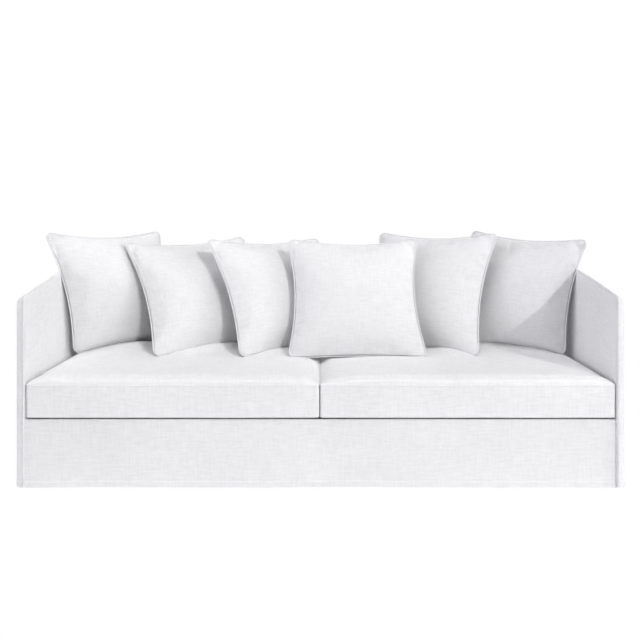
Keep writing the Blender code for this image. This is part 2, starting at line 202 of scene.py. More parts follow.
def drift(along: Array, across: Array, phase: float) -> Array:
    """Slow unevenness of washed cloth, about -1 to 1, from a few crossing waves.

    Args:
        along: Places along the cloth, in metres.
        across: Places across it, in metres.
        phase: Shifts the pattern, so that no two panels are alike.

    Returns:
        The unevenness at each place.
    """
    total = 0.45 * np.sin(7.3 * along + 2.1 * across + phase)
    total = total + 0.30 * np.sin(13.9 * along - 9.7 * across + 2.3 * phase)
    return total + 0.25 * np.sin(23.1 * across + 5.2 * along + 1.7 * phase)


def unit(vectors: Array) -> Array:
    """The vectors at length one."""
    return vectors / np.maximum(np.linalg.norm(vectors, axis=-1, keepdims=True), 1e-12)


def run_along(path: Array) -> Array:
    """Distance of each point along a path."""
    steps = np.linalg.norm(np.diff(path, axis=0), axis=1)
    return np.concatenate([[0.0], np.cumsum(steps)])


def heading(loop: Array) -> Array:
    """Direction of a closed path at each of its points."""
    return unit(np.roll(loop, -1, axis=0) - np.roll(loop, 1, axis=0))


def rectangle_loop(xs: Array, ys: Array) -> tuple[Array, Array]:
    """Places round a rectangle, from the places along its sides.

    Args:
        xs: Places across, from its left to its right corner.
        ys: Places up, from its lower to its upper corner.

    Returns:
        The places across and up, once round.
    """
    wide, high = np.ones(len(xs) - 1), np.ones(len(ys) - 1)
    x = np.concatenate([xs[:-1], xs[-1] * high, xs[:0:-1], xs[0] * high])
    y = np.concatenate([ys[0] * wide, ys[:-1], ys[-1] * wide, ys[:0:-1]])
    return x, y


def select_only(*pieces: Object) -> None:
    """Selects some pieces and nothing else, and makes the first of them active.

    Args:
        pieces: The pieces, or none to deselect everything.
    """
    for other in bpy.context.view_layer.objects:
        other.select_set(other in pieces)
    if pieces:
        bpy.context.view_layer.objects.active = pieces[0]


def apply_modifier(obj: Object, kind: str, **settings: object) -> None:
    """Adds a modifier, sets it and applies it.

    Args:
        obj: The piece.
        kind: Blender's name of the kind of modifier.
        settings: Values of the modifier's own settings.
    """
    modifier = obj.modifiers.new(kind.title(), kind)
    for name, value in settings.items():
        setattr(modifier, name, value)
    select_only(obj)
    bpy.ops.object.modifier_apply(modifier=modifier.name)


def read_points(obj: Object) -> Array:
    """The places of a mesh's vertices.

    Args:
        obj: The piece.

    Returns:
        A row for each vertex.
    """
    points = np.zeros(len(obj.data.vertices) * 3)
    obj.data.vertices.foreach_get("co", points)
    return points.reshape(-1, 3)


def write_points(obj: Object, points: Array) -> None:
    """Moves a mesh's vertices to new places."""
    obj.data.vertices.foreach_set("co", points.ravel())
    obj.data.update()


def write_cloth_map(obj: Object, along: Array, across: Array) -> None:
    """Gives a mesh its cloth map, in metres.

    Args:
        obj: The piece.
        along: Place along the flat cloth, for each vertex or for each corner of each face.
        across: Place across it.
    """
    mesh = obj.data
    places = np.stack([along, across], axis=-1).reshape(-1, 2)
    corners = np.zeros(len(mesh.loops), dtype=int)
    mesh.loops.foreach_get("vertex_index", corners)
    per_corner = places if len(places) == len(corners) else places[corners]
    while mesh.uv_layers:
        mesh.uv_layers.remove(mesh.uv_layers[0])
    layer = mesh.uv_layers.new(name=CLOTH_MAP)
    layer.uv.foreach_set("vector", per_corner.astype(np.float32).ravel())


def link_new(name: str, data: bpy.types.ID) -> Object:
    """A new object that holds some data, linked into the scene.

    Args:
        name: Name of the object.
        data: The mesh, light or camera.

    Returns:
        The object.
    """
    obj = bpy.data.objects.new(name, data)
    bpy.context.scene.collection.objects.link(obj)
    return obj


def closed_mesh(name: str, points: Array, faces: Sequence[Sequence[int]]) -> Object:
    """Makes a closed piece from points and faces, with its faces turned outwards.

    Args:
        name: Name of the piece.
        points: Places of the vertices.
        faces: Vertex numbers of each face.

    Returns:
        The new piece.
    """
    mesh = bpy.data.meshes.new(name)
    mesh.from_pydata(points.tolist(), [], faces)
    mesh.update()
    bm = bmesh.new()
    bm.from_mesh(mesh)
    bmesh.ops.recalc_face_normals(bm, faces=bm.faces[:])
    if bm.calc_volume(signed=True) < 0:
        bmesh.ops.reverse_faces(bm, faces=bm.faces[:])
    bm.to_mesh(mesh)
    bm.free()
    return link_new(name, mesh)


def flip_faces(obj: Object) -> None:
    """Turns all the faces of a piece over.

    Args:
        obj: The piece.
    """
    select_only(obj)
    bpy.ops.object.mode_set(mode="EDIT")
    bpy.ops.mesh.select_all(action="SELECT")
    bpy.ops.mesh.flip_normals()
    bpy.ops.object.mode_set(mode="OBJECT")


def shade_soft(obj: Object, angle: float = 50.0) -> None:
    """Shades a piece smooth, with its sharper edges kept."""
    select_only(obj)
    bpy.ops.object.shade_smooth_by_angle(angle=math.radians(angle))


def thicken(obj: Object) -> None:
    """Gives a surface the thickness of the cloth, on its inner side."""
    apply_modifier(obj, "SOLIDIFY", thickness=SIZES.cloth, offset=-1.0, use_even_offset=True)
    shade_soft(obj)


def flat_grid(name: str, along: Array, across: Array) -> tuple[Object, Array, Array]:
    """A flat grid with a vertex for each pair of places.

    Args:
        name: Name of the piece.
        along: Places along the cloth.
        across: Places across it.

    Returns:
        The grid, and each vertex's number along and across.
    """
    select_only()
    cells = (len(along) - 1, len(across) - 1)
    bpy.ops.mesh.primitive_grid_add(
        x_subdivisions=cells[0], y_subdivisions=cells[1], size=1.0, location=(0, 0, 0)
    )
    obj = bpy.context.active_object
    obj.name = obj.data.name = name
    numbers = np.rint((read_points(obj)[:, :2] + 0.5) * cells).astype(int)
    return obj, numbers[:, 0], numbers[:, 1]


def grid_faces(numbers: Array) -> list[tuple[int, ...]]:
    """The faces between the vertices of a numbered grid."""
    corners = (numbers[:-1, :-1], numbers[1:, :-1], numbers[1:, 1:], numbers[:-1, 1:])
    return [tuple(face) for face in np.stack(corners, axis=-1).reshape(-1, 4).tolist()]


def ring_faces(rings: int, count: int, closed: bool) -> list[tuple[int, ...]]:
    """Faces of a skin over rings of points, with caps where it isn't a loop.

    Args:
        rings: How many rings there are.
        count: Points in each ring.
        closed: Whether the last ring joins the first.

    Returns:
        The faces as vertex numbers.
    """
    faces = []
    for r in range(rings if closed else rings - 1):
        first, second = r * count, ((r + 1) % rings) * count
        for k in range(count):
            following = (k + 1) % count
            faces.append((first + k, first + following, second + following, second + k))
    if not closed:
        faces.append(tuple(reversed(range(count))))
        faces.append(tuple(range((rings - 1) * count, rings * count)))
    return faces


def skin(name: str, rings: Array, run: Array, around: Array, closed: bool, angle: float) -> Object:
    """A closed skin through rings of points.

    Args:
        name: Name of the piece.
        rings: Points of each ring.
        run: Distance of each ring along the piece.
        around: Distance of each point round its ring.
        closed: Whether the last ring joins the first.
        angle: Angle above which an edge stays sharp, in degrees.

    Returns:
        The piece, with its cloth map.
    """
    obj = closed_mesh(name, rings.reshape(-1, 3), ring_faces(*rings.shape[:2], closed))
    write_cloth_map(obj, *np.meshgrid(run, around, indexing="ij"))
    shade_soft(obj, angle)
    return obj


def cord_loop(name: str, path: Array, radius: float, sides: int) -> Object:
    """A round cord along a closed path.

    Args:
        name: Name of the piece.
        path: Points along the loop.
        radius: Radius of the cord.
        sides: How many sides its section has.

    Returns:
        The cord.
    """
    ahead = heading(path)
    plane = unit(np.cross(path - path.mean(axis=0), ahead).sum(axis=0))
    beside = unit(np.cross(ahead, plane))
    above = np.cross(beside, ahead)
    turns = np.linspace(0.0, 2 * math.pi, sides, endpoint=False)
    cosines, sines = np.cos(turns)[:, None], np.sin(turns)[:, None]
    rings = path[:, None] + radius * (beside[:, None] * cosines + above[:, None] * sines)
    return skin(name, rings, run_along(path), turns * radius, True, 80.0)


def stitch_row(name: str, line: Array, outward: Point) -> Object:
    """A row of topstitches, each a short raised thread of four sides with thin ends.

    Args:
        name: Name of the piece.
        line: Points along the row.
        outward: Direction away from the cloth.

    Returns:
        The row, as one piece.
    """
    stitch, space, radius = 0.0042, 0.0014, 0.00042
    run = run_along(line)
    pitch = stitch + space
    away = np.array(outward)
    points, faces = [], []
    for start in np.arange(pitch / 2, run[-1] - pitch, pitch):
        places = start + stitch * np.array([0.0, 0.25, 0.75, 1.0])
        centre = np.stack([np.interp(places, run, line[:, k]) for k in range(3)], axis=-1)
        beside = unit(np.cross(away, unit(centre[-1] - centre[0])))
        first = len(points) * 4
        for middle, swell in zip(centre + away * radius * 0.2, (0.35, 1.0, 1.0, 0.35)):
            points.append(middle + np.array([beside, away, -beside, -away]) * (radius * swell))
        faces += [tuple(first + k for k in face) for face in ring_faces(4, 4, False)]
    obj = closed_mesh(name, np.concatenate(points), faces)
    x, y, z = read_points(obj).T
    write_cloth_map(obj, x + z, y + z)
    shade_soft(obj, 80.0)
    return obj


# ------------------------------------------------------------------ the linen


def feed(tree: Tree, node: bpy.types.Node, inputs: dict[Union[int, str], Input]) -> None:
    """Joins or sets a node's inputs.

    Args:
        tree: The nodes.
        node: The node.
        inputs: A socket or a value for each input, by its name or number.
    """
    for key, value in inputs.items():
        if isinstance(value, Socket):
            tree.links.new(value, node.inputs[key])
        else:
            node.inputs[key].default_value = value


def add_node(
    tree: Tree, kind: str, inputs: dict[Union[int, str], Input], **settings: object
) -> bpy.types.Node:
    """Adds a node with its settings and its inputs.

    Args:
        tree: The nodes.
        kind: Blender's name of the kind of node, after "ShaderNode".
        inputs: A socket or a value for each input, by its name or number.
        settings: Values of the node's own settings.

    Returns:
        The node.
    """
    node = tree.nodes.new(f"ShaderNode{kind}")
    for name, value in settings.items():
        setattr(node, name, value)
    feed(tree, node, inputs)
    return node


def maths(tree: Tree, how: str, *values: Input) -> Socket:
    """The result of a sum, difference, product or sine."""
    return add_node(tree, "Math", dict(enumerate(values)), operation=how).outputs[0]


@dataclass(frozen=True)
class LinenFinish:
    """Washed, piece-dyed linen: uneven yarns both ways, a plain weave and a soft bloom."""

    name: str
    colour: Point
    roughness: float = 0.92
    specular: float = 0.25
    sheen: float = 0.18
    sheen_roughness: float = 0.5
    slub_tone: float = 0.17
    blotch_tone: float = 0.045
    yarn: float = 0.0011
    slub_height: float = 0.0003
    weave_height: float = 0.00018
    crumple_height: float = 0.0012

    slub_runs = (
        # repeats a metre along and across, and share in the slub
        ((17.0, 125.0), 0.34), ((125.0, 15.0), 0.26), ((55.0, 420.0), 0.22), ((420.0, 48.0), 0.18),
    )

    def build(self) -> bpy.types.Material:
        """Makes the material, read from the piece's cloth map in metres.

        Returns:
            The material.
        """
        material = bpy.data.materials.new(self.name)
        material.use_nodes = True
        material.diffuse_color = (*self.colour, 1.0)
        tree = material.node_tree
        place = add_node(tree, "UVMap", {}, uv_map=CLOTH_MAP).outputs["UV"]
        slub = self.total(
            tree, *((self.noise(tree, place, run, 1.0), share) for run, share in self.slub_runs)
        )
        blotch = self.noise(tree, place, (2.6, 3.4), 2.0)
        crumple = self.noise(tree, place, (16.0, 13.0), 3.0)
        tone = self.total(tree, (slub, self.slub_tone * 2), (blotch, self.blotch_tone * 2))
        shade = maths(tree, "SUBTRACT", tone, self.slub_tone + self.blotch_tone)
        inputs = {0: self.colour, "Scale": maths(tree, "ADD", shade, 1.0)}
        colour = add_node(tree, "VectorMath", inputs, operation="SCALE")
        relief = (
            (crumple, self.crumple_height),
            (slub, self.slub_height),
            (self.weave(tree, place), self.weave_height),
        )
        normal = {}
        for height, distance in relief:
            bump = add_node(tree, "Bump", {"Height": height, "Distance": distance, **normal})
            normal = {"Normal": bump.outputs["Normal"]}
        surface = {
            "Base Color": colour.outputs["Vector"],
            "Roughness": self.roughness,
            "Specular IOR Level": self.specular,
            "Sheen Weight": self.sheen,
            "Sheen Roughness": self.sheen_roughness,
            **normal,
        }
        feed(tree, tree.nodes["Principled BSDF"], surface)
        return material

    def noise(self, tree: Tree, place: Socket, scale: tuple[float, float], detail: float) -> Socket:
        """Noise stretched along the cloth.

        Args:
            tree: The material's nodes.
            place: The place on the cloth.
            scale: Repeats for each metre along and across.
            detail: Detail of the noise.

        Returns:
            The noise, from about 0.2 to 0.8.
        """
        mapping = add_node(tree, "Mapping", {"Vector": place, "Scale": (*scale, 1.0)})
        inputs = {"Vector": mapping.outputs["Vector"], "Scale": 1.0, "Detail": detail}
        return add_node(tree, "TexNoise", inputs, noise_dimensions="2D").outputs["Fac"]

    def total(self, tree: Tree, *parts: tuple[Socket, float]) -> Socket:
        """The weighted sum of several sockets.

        Args:
            tree: The material's nodes.
            parts: Each socket with its weight.

        Returns:
            The sum.
        """
        running, *others = [maths(tree, "MULTIPLY", value, weight) for value, weight in parts]
        for part in others:
            running = maths(tree, "ADD", running, part)
        return running

    def weave(self, tree: Tree, place: Socket) -> Socket:
        """Over and under of a plain weave, two yarns to a repeat.

        Args:
            tree: The material's nodes.
            place: The place on the cloth.

        Returns:
            The height of the weave, from -1 to 1.
        """
        split = add_node(tree, "SeparateXYZ", {0: place})
        turns = (
            maths(tree, "MULTIPLY", split.outputs[axis], math.pi / self.yarn) for axis in "XY"
        )
        return maths(tree, "MULTIPLY", *(maths(tree, "SINE", turn) for turn in turns))


@dataclass
class Finishes:
    """The four linens of the set, each made once."""

    made: dict[Slot, bpy.types.Material] = field(default_factory=dict)

    def prepare(self) -> None:
        """Makes the materials."""
        # All four are the same white cloth. The seat linen is set a little lighter and the pillow
        # linen a little darker than the frame linen as painted light and shade, to even out how
        # brightly each part comes out under the lamps.
        linens = {
            Slot.FRAME: LinenFinish("frame linen", (0.785, 0.785, 0.793)),
            Slot.SEAT: LinenFinish("seat linen", (0.80, 0.80, 0.808)),
            Slot.PILLOW: LinenFinish("pillow linen", (0.78, 0.78, 0.79)),
            Slot.PIPING: LinenFinish("piping linen", (0.79, 0.79, 0.805), crumple_height=0.0),
        }
        self.made.update({slot: linen.build() for slot, linen in linens.items()})

    def dress(self, obj: Object, slot: Slot, *nodes: str) -> None:
        """Gives a piece its linen, its place in the frame and the solids that it stands for.

        Args:
            obj: The finished piece.
            slot: Which linen it is cut from.
            nodes: The solids that it replaces.
        """
        obj.data.materials.clear()
        obj.data.materials.append(self.made[slot])
        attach(obj, BODY)
        if nodes:
            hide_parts(*nodes)


# ------------------------------------------------------------------ sheets


@dataclass(frozen=True)
class Crease:
    """A soft trough, or a ridge where its depth is negative, laid along a line of the cloth."""

    start: tuple[float, float]
    end: tuple[float, float]
    depth: float
    width: float

    def relief(self, along: Array, across: Array) -> Array:
        """How far the cloth lies in at each place, fading towards the crease's ends.

        Args:
            along: Places along the cloth.
            across: Places across it.

        Returns:
            The depth of the crease there.
        """
        run = np.array(self.end) - np.array(self.start)
        length = float(np.hypot(*run))
        ahead = run / length
        dx, dy = along - self.start[0], across - self.start[1]
        share = (dx * ahead[0] + dy * ahead[1]) / length
        body = np.exp(-(((dy * ahead[0] - dx * ahead[1]) / self.width) ** 2))
        fade = np.sin(np.pi * np.clip(share * 0.96 + 0.02, 0.0, 1.0)) ** 0.8
        return self.depth * body * fade


@dataclass
class Sheet:
    """A panel of cloth made from a flat grid, laid on its form and given its thickness."""

    name: str
    along: Array
    across: Array
    form: Surface
    creases: Sequence[Crease] = ()
    ease: float = 0.0008
    phase: float = 0.0
    flip: bool = False
    map_height: float = 1.0
    sewn_reach: float = 0.05

    def build(self) -> Object:
        """Lays out the grid, shapes it and thickens it.

        Returns:
            The finished panel.
        """
        obj, i, j = flat_grid(self.name, self.along, self.across)
        s, t = np.meshgrid(self.along, self.across, indexing="ij")
        points = self.form(s, t)
        normals = unit(np.cross(np.gradient(points, axis=0), np.gradient(points, axis=1)))
        relief = self.edge_fade(s, t) * self.ease * drift(s, t, self.phase)
        for crease in self.creases:
            relief = relief + crease.relief(s, t)
        inwards = 1.0 if self.flip else -1.0
        points = points + inwards * normals * relief[..., None]
        write_points(obj, points[i, j])
        write_cloth_map(obj, s[i, j], t[i, j] * self.map_height)
        if self.flip:
            flip_faces(obj)
        thicken(obj)
        return obj

    def edge_fade(self, s: Array, t: Array) -> Array:
        """How free the cloth is between its sewn edges.

        Args:
            s: Places along the cloth.
            t: Places across it.

        Returns:
            1 inside the panel, falling to 0 at its edges.
        """
        fade = np.ones_like(s)
        for values, places in ((s, self.along), (t, self.across)):
            fade = fade * soft_step(values, places.min(), places.min() + self.sewn_reach)
            fade = fade * soft_step(-values, -places.max(), -places.max() + self.sewn_reach)
        return fade


# ------------------------------------------------------------------ frame cover


@dataclass
class FrameCover:
    """The sewn cover of the sofa's frame: skirt, deck, arms, back and their standing seams."""

    finishes: Finishes
    cell: float = 0.014
    back_cell: float = 0.02
    arm_cell: float = 0.022
    tall_cell: float = 0.025
    wide_cell: float = 0.03
    rail_cell: float = 0.0022
    arm_rows: int = 38
    bend_clear: float = 0.038
    skirt_sway: float = 0.003
    back_sag: float = 0.006
    arm_sag: float = 0.0035
    panel_fullness: float = 0.003
    hem_thick: float = 0.0011
    hem_stitch_height: float = SIZES.hem_height - 0.0035
    turn_soft: float = 0.010
    stitch_run: float = 0.01
    seam_step: float = 0.010
    seam_girth: float = 0.05
    flange_wave: float = 0.0007
    stitch_inset: float = 0.0045
    arm_area_share: float = 0.93

    hem_rows = (0.0, 0.006, 0.012, 0.017, 0.0205, 0.0215, 0.023)
    flange_section = (
        # share of the seam's width, share of its thickness
        (0.0, 0.0), (0.5, 0.0), (0.90, 0.0), (0.975, 0.07), (1.0, 0.25), (0.955, 0.5),
        (1.0, 0.75), (0.975, 0.93), (0.90, 1.0), (0.5, 1.0), (0.0, 1.0),
    )
    skirt_creases = (
        Crease((-0.62, 0.02), (-0.55, 0.17), 0.0016, 0.020),
        Crease((-0.20, 0.01), (-0.26, 0.15), 0.0012, 0.026),
        Crease((0.33, 0.02), (0.30, 0.19), 0.0014, 0.022),
        Crease((0.83, 0.01), (0.90, 0.14), 0.0016, 0.020),
        Crease((-0.95, 0.19), (-0.45, 0.215), 0.0009, 0.012),
        Crease((0.10, 0.205), (0.75, 0.20), 0.0008, 0.014),
    )
    inner_back_creases = (
        Crease((-0.90, 0.50), (-0.30, 0.53), 0.0015, 0.014),
        Crease((0.20, 0.53), (0.95, 0.50), 0.0015, 0.014),
    )
    inner_arm_creases = (
        Crease((0.03, 0.10), (0.34, 0.80), 0.0010, 0.030),
        Crease((0.10, 0.05), (0.55, 0.28), 0.0012, 0.028),
    )
    outer_arm_creases = (
        Crease((0.14, 0.02), (0.20, 0.36), 0.0022, 0.022),
        Crease((0.42, 0.02), (0.38, 0.25), 0.0020, 0.026),
        Crease((0.70, 0.02), (0.74, 0.30), 0.0024, 0.024),
        Crease((0.10, 0.60), (0.60, 0.66), 0.0010, 0.020),
    )
    outer_back_creases = (
        Crease((-0.95, 0.02), (-0.88, 0.34), 0.0024, 0.026),
        Crease((-0.45, 0.02), (-0.52, 0.26), 0.0020, 0.030),
        Crease((0.05, 0.02), (0.02, 0.38), 0.0024, 0.028),
        Crease((0.55, 0.02), (0.62, 0.28), 0.0020, 0.026),
        Crease((0.98, 0.02), (0.90, 0.32), 0.0024, 0.024),
        Crease((-0.80, 0.70), (0.10, 0.74), 0.0010, 0.022),
    )

    def build(self) -> list[Object]:
        """Makes every piece of the frame cover.

        Returns:
            The panels.
        """
        panels = [self.front_skirt(), self.seat_deck(), self.inner_back(), self.outer_back()]
        for side in Side:
            panels += [self.inner_arm(side), self.outer_arm(side)]
        return panels

    def hem_rise(self, height: Array) -> Array:
        """Extra thickness of the turned hem at the foot of a panel."""
        turned = 1.0 - soft_step(height, SIZES.hem_height - 0.0015, SIZES.hem_height + 0.001)
        return self.hem_thick * turned

    def stitches(self, name: str, line: Array, outward: Point) -> Object:
        """A dressed row of topstitches.

        Args:
            name: Name of the piece.
            line: Points along the row.
            outward: Direction away from the cloth.

        Returns:
            The row.
        """
        row = stitch_row(name, line, outward)
        self.finishes.dress(row, Slot.FRAME)
        return row

    def front_skirt(self) -> Object:
        """The front panel, from the hem up over the round front rail and down to the deck.

        Returns:
            The panel.
        """
        roll, half = SIZES.rail_round, SIZES.panel_out
        straight = SIZES.rail_top - roll
        turned = math.radians(160)
        slant = math.radians(20)
        quarter = roll * math.pi / 2
        end = straight + quarter + SIZES.rail_back - 2 * roll + roll * math.radians(70)

        def form(x: Array, t: Array) -> Array:
            """Points of the skirt.

            Args:
                x: Places across.
                t: Places up the cloth.

            Returns:
                The points.
            """
            turn = np.clip((t - straight) / roll, 0.0, turned)
            beyond = np.clip(t - straight - roll * turned, 0.0, None)
            depth = roll - roll * np.cos(turn) + beyond * math.sin(slant)
            z = np.minimum(t, straight) + roll * np.sin(turn) - beyond * math.cos(slant)
            fade = 1.0 - (np.abs(x) / half) ** 6
            fullness = np.clip(1.0 - t / straight, 0.0, 1.0)
            sway = self.skirt_sway * fullness * fade * (1.0 + drift(x, t, 0.4))
            return at(x, depth + sway - self.hem_rise(t), z)

        # close rows at the hem and round the rail, wider ones on the flat between them
        flat_rows = spread(0.036, straight - 0.004, self.cell)
        rows = [self.hem_rows, [0.026], flat_rows, spread(straight, end, self.rail_cell)]
        across = np.concatenate(rows)
        along = spread(-half, half, self.cell)
        panel = Sheet("front_skirt_cloth", along, across, form, self.skirt_creases, phase=0.9)
        obj = panel.build()
        self.finishes.dress(obj, Slot.FRAME, "front_skirt")
        x = spread(-half + 0.004, half - 0.004, self.stitch_run)
        line = form(x, np.full_like(x, self.hem_stitch_height))
        hem = self.stitches("front_hem_stitches", line, (0.0, -1.0, 0.0))
        return obj

    def seat_deck(self) -> Object:
        """The flat cloth under the seat cushions.

        Returns:
            The panel.
        """
        front = SIZES.rail_back + SIZES.gap
        back = SIZES.back_foot_depth - SIZES.gap
        half = SIZES.panel_out - SIZES.gap
        along, across = spread(-half, half, self.wide_cell), spread(front, back, self.wide_cell)
        panel = Sheet(
            "seat_deck_cloth", along, across, lambda x, depth: at(x, depth, SIZES.deck_top), ease=0.0
        )
        obj = panel.build()
        self.finishes.dress(obj, Slot.FRAME, "seat_deck")
        return obj

    def inner_back(self) -> Object:
        """The inner back panel, which leans back from the deck to the upper seam.

        Returns:
            The panel.
        """
        foot = SIZES.deck_top + SIZES.gap
        half = SIZES.inside_half - SIZES.gap
        rise = SIZES.back_top - foot
        lean = SIZES.back_top_depth - SIZES.back_foot_depth

        def form(x: Array, t: Array) -> Array:
            """Points of the panel.

            Args:
                x: Places across.
                t: Places up the cloth.

            Returns:
                The points.
            """
            share = t / rise
            fullness = np.sin(math.pi * share) * np.cos(0.5 * math.pi * x / half)
            depth = SIZES.back_foot_depth + lean * share - self.back_sag * fullness
            return at(x, depth, foot + t)

        along, across = spread(-half, half, self.back_cell), spread(0.0, rise, self.back_cell)
        panel = Sheet("inner_back_cloth", along, across, form, self.inner_back_creases, 0.0012, 2.2)
        obj = panel.build()
        self.finishes.dress(obj, Slot.FRAME, "inner_back")
        return obj

    def inner_arm(self, side: Side) -> Object:
        """The arm's inner panel, from the front rail and the deck to the upper seam.

        Args:
            side: Which arm.

        Returns:
            The panel.
        """
        behind_rail = SIZES.rail_back + SIZES.gap
        corner = SIZES.corner_round

        def form(depth: Array, share: Array) -> Array:
            """Points of the panel.

            Args:
                depth: Places from front to back.
                share: Places up, from 0 at its foot to 1 at its seam.

            Returns:
                The points.
            """
            dip = np.clip(corner - depth, 0.0, None)
            top = SIZES.arm_top(depth) - (corner - np.sqrt(corner**2 - dip**2))
            foot = SIZES.gap + np.where(depth > behind_rail, SIZES.deck_top, SIZES.rail_top)
            sag = np.sin(math.pi * share) * np.sin(math.pi * depth / SIZES.back_top_depth)
            hollow = self.arm_sag * np.clip(sag, 0.0, 1.0)
            return at(side.value * (SIZES.inside_half + hollow), depth, foot + (top - foot) * share)

        round_front = corner * (1.0 - np.cos(np.linspace(0.0, math.pi / 2, 6)))
        step = [behind_rail, behind_rail + SIZES.cloth]
        depths = np.concatenate([round_front, step, spread(0.03, SIZES.back_flange_depth, self.cell)])
        panel = Sheet(
            f"inner_arm_{side.word}_cloth",
            depths,
            np.linspace(0.0, 1.0, self.arm_rows),
            form,
            self.inner_arm_creases,
            phase=3.0 + side.value,
            flip=side is Side.RIGHT,
            map_height=SIZES.arm_front_top - SIZES.rail_top,
        )
        obj = panel.build()
        self.finishes.dress(obj, Slot.FRAME, f"inner_arm_{side.word}")
        flat = (SIZES.back_flange_depth, SIZES.back_top - SIZES.deck_top)
        return obj

    def outer_arm(self, side: Side) -> Object:
        """The arm's outer panel with its standing seam, wrapped over the top and the front.

        Args:
            side: Which arm.

        Returns:
            The panel.
        """
        back = SIZES.back_edge_depth - SIZES.gap
        wrap = SIZES.half_width - SIZES.arm_edge_in
        top = SIZES.arm_front_top
        obj = self.wrapped_panel(
            f"outer_arm_{side.word}_cloth",
            np.concatenate([[0.0, self.bend_clear], spread(0.058, back, self.arm_cell)]),
            np.concatenate([self.hem_rows, [0.027], spread(0.045, 0.668, self.arm_cell), [top]]),
            lambda depth, z: at(side.value * SIZES.half_width, depth, z),
            (-side.value * wrap, 0.0, 0.0),
            SIZES.arm_top,
            (True, False),
        )
        points = read_points(obj)
        depth, z = points[:, 1] - SIZES.front_y, points[:, 2]
        drop = SIZES.half_width - np.abs(points[:, 0])
        flat = 1.0 - soft_step(drop, 0.0, self.turn_soft)
        inside = flat * self.arm_face(depth)
        inwards = self.face_sag(depth, z, inside, top, 1.1, self.outer_arm_creases)
        rise = self.hem_rise(z)
        points[:, 0] -= side.value * (inwards - rise * flat)
        points[:, 1] -= rise * (1.0 - flat) * (1.0 - soft_step(depth, 0.0, 0.02))
        write_points(obj, points)
        to_top = np.maximum(SIZES.arm_top(depth) - z, 0.0)
        front_share = to_top / np.maximum(depth + to_top, TINY)
        write_cloth_map(obj, depth - drop * front_share, z + drop * (1.0 - front_share))
        thicken(obj)
        self.finishes.dress(obj, Slot.FRAME, f"outer_arm_{side.word}")
        flat_size = (back + wrap, SIZES.back_top + wrap)
        self.arm_flange(side)
        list(self.arm_stitches(side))
        return obj

    def arm_face(self, depth: Array) -> Array:
        """1 over the arm's outer face, falling to 0 at its front and back."""
        return soft_step(depth, 0.03, 0.12) * soft_step(-depth, -0.88, -0.80)

    def face_sag(
        self,
        along: Array,
        height: Array,
        inside: Array,
        top: float,
        phase: float,
        creases: Sequence[Crease] = (),
    ) -> Array:
        """How far an outer face lies in, from its fullness over the frame and its creases.

        Args:
            along: Places along the panel.
            height: Heights on it.
            inside: 1 on the free face and 0 at its edges.
            top: Height of the panel.
            phase: Shifts the unevenness.
            creases: The panel's creases.

        Returns:
            How far the cloth lies in at each place.
        """
        fullness = np.clip(1.0 - height / top, 0.0, 1.0)
        sag = inside * self.panel_fullness * fullness * (1.0 + drift(along, height, phase))
        for crease in creases:
            sag = sag + inside * crease.relief(along, height)
        return sag

    def wrapped_panel(
        self,
        name: str,
        along: Array,
        across: Array,
        form: Surface,
        turn_in: Point,
        top_of: Callable[[Array], Array],
        ends: tuple[bool, bool],
    ) -> Object:
        """A panel whose upper and end edges are turned in and rounded over the frame's edge.

        Args:
            name: Name of the piece.
            along: Places along the panel.
            across: Heights on it, of which the last one stands for its upper edge.
            form: Where the flat face lies.
            turn_in: How the edges are extruded inwards.
            top_of: Height of the upper edge at each place along.
            ends: Whether the first and the last end are turned in.

        Returns:
            The open surface, rounded and evenly divided, without thickness.
        """
        obj, i, j = flat_grid(name, along, across)
        at_top = j == len(across) - 1
        at_end = (ends[0] & (i == 0)) | (ends[1] & (i == len(along) - 1))
        s, t = along[i], across[j]
        stretched = np.where(at_top, 1.0, soft_step(t, SIZES.hem_height, across[-1] * 0.9))
        write_points(obj, form(s, t + (top_of(s) - across[-1]) * stretched))
        bpy.ops.object.mode_set(mode="EDIT")
        bpy.ops.mesh.select_all(action="DESELECT")
        bpy.ops.object.mode_set(mode="OBJECT")
        for edge in obj.data.edges:
            pair = list(edge.vertices)
            edge.select = bool(at_top[pair].all() or at_end[pair].all())
        rim = {tuple(sorted(edge.vertices)) for edge in obj.data.edges if edge.select}
        corners = set(np.nonzero(at_top & at_end)[0].tolist())
        count = len(obj.data.vertices)
        bpy.ops.object.mode_set(mode="EDIT")
        bpy.ops.mesh.select_mode(type="EDGE")
        bpy.ops.mesh.extrude_region_move(TRANSFORM_OT_translate={"value": turn_in})
        bpy.ops.object.mode_set(mode="OBJECT")
        # the upper corners are tight on the arms and fully round on the back
        corner_weight = 1.0 if all(ends) else SIZES.corner_round / SIZES.edge_round
        weights = obj.data.attributes.new("bevel_weight_edge", "FLOAT", "EDGE").data
        for edge in obj.data.edges:
            low, high = sorted(edge.vertices)
            at_corner = low in corners and high >= count
            weights[edge.index].value = corner_weight if at_corner else float((low, high) in rim)
        apply_modifier(
            obj,
            "BEVEL",
            limit_method="WEIGHT",
            width=SIZES.edge_round,
            segments=6,
            use_clamp_overlap=False,
        )
        middle = Vector((0.0, 0.0, 0.3))
        if sum((face.center - middle).dot(face.normal) * face.area for face in obj.data.polygons) < 0:
            flip_faces(obj)
        apply_modifier(obj, "SUBSURF", levels=1, render_levels=1, boundary_smooth="PRESERVE_CORNERS")
        return obj

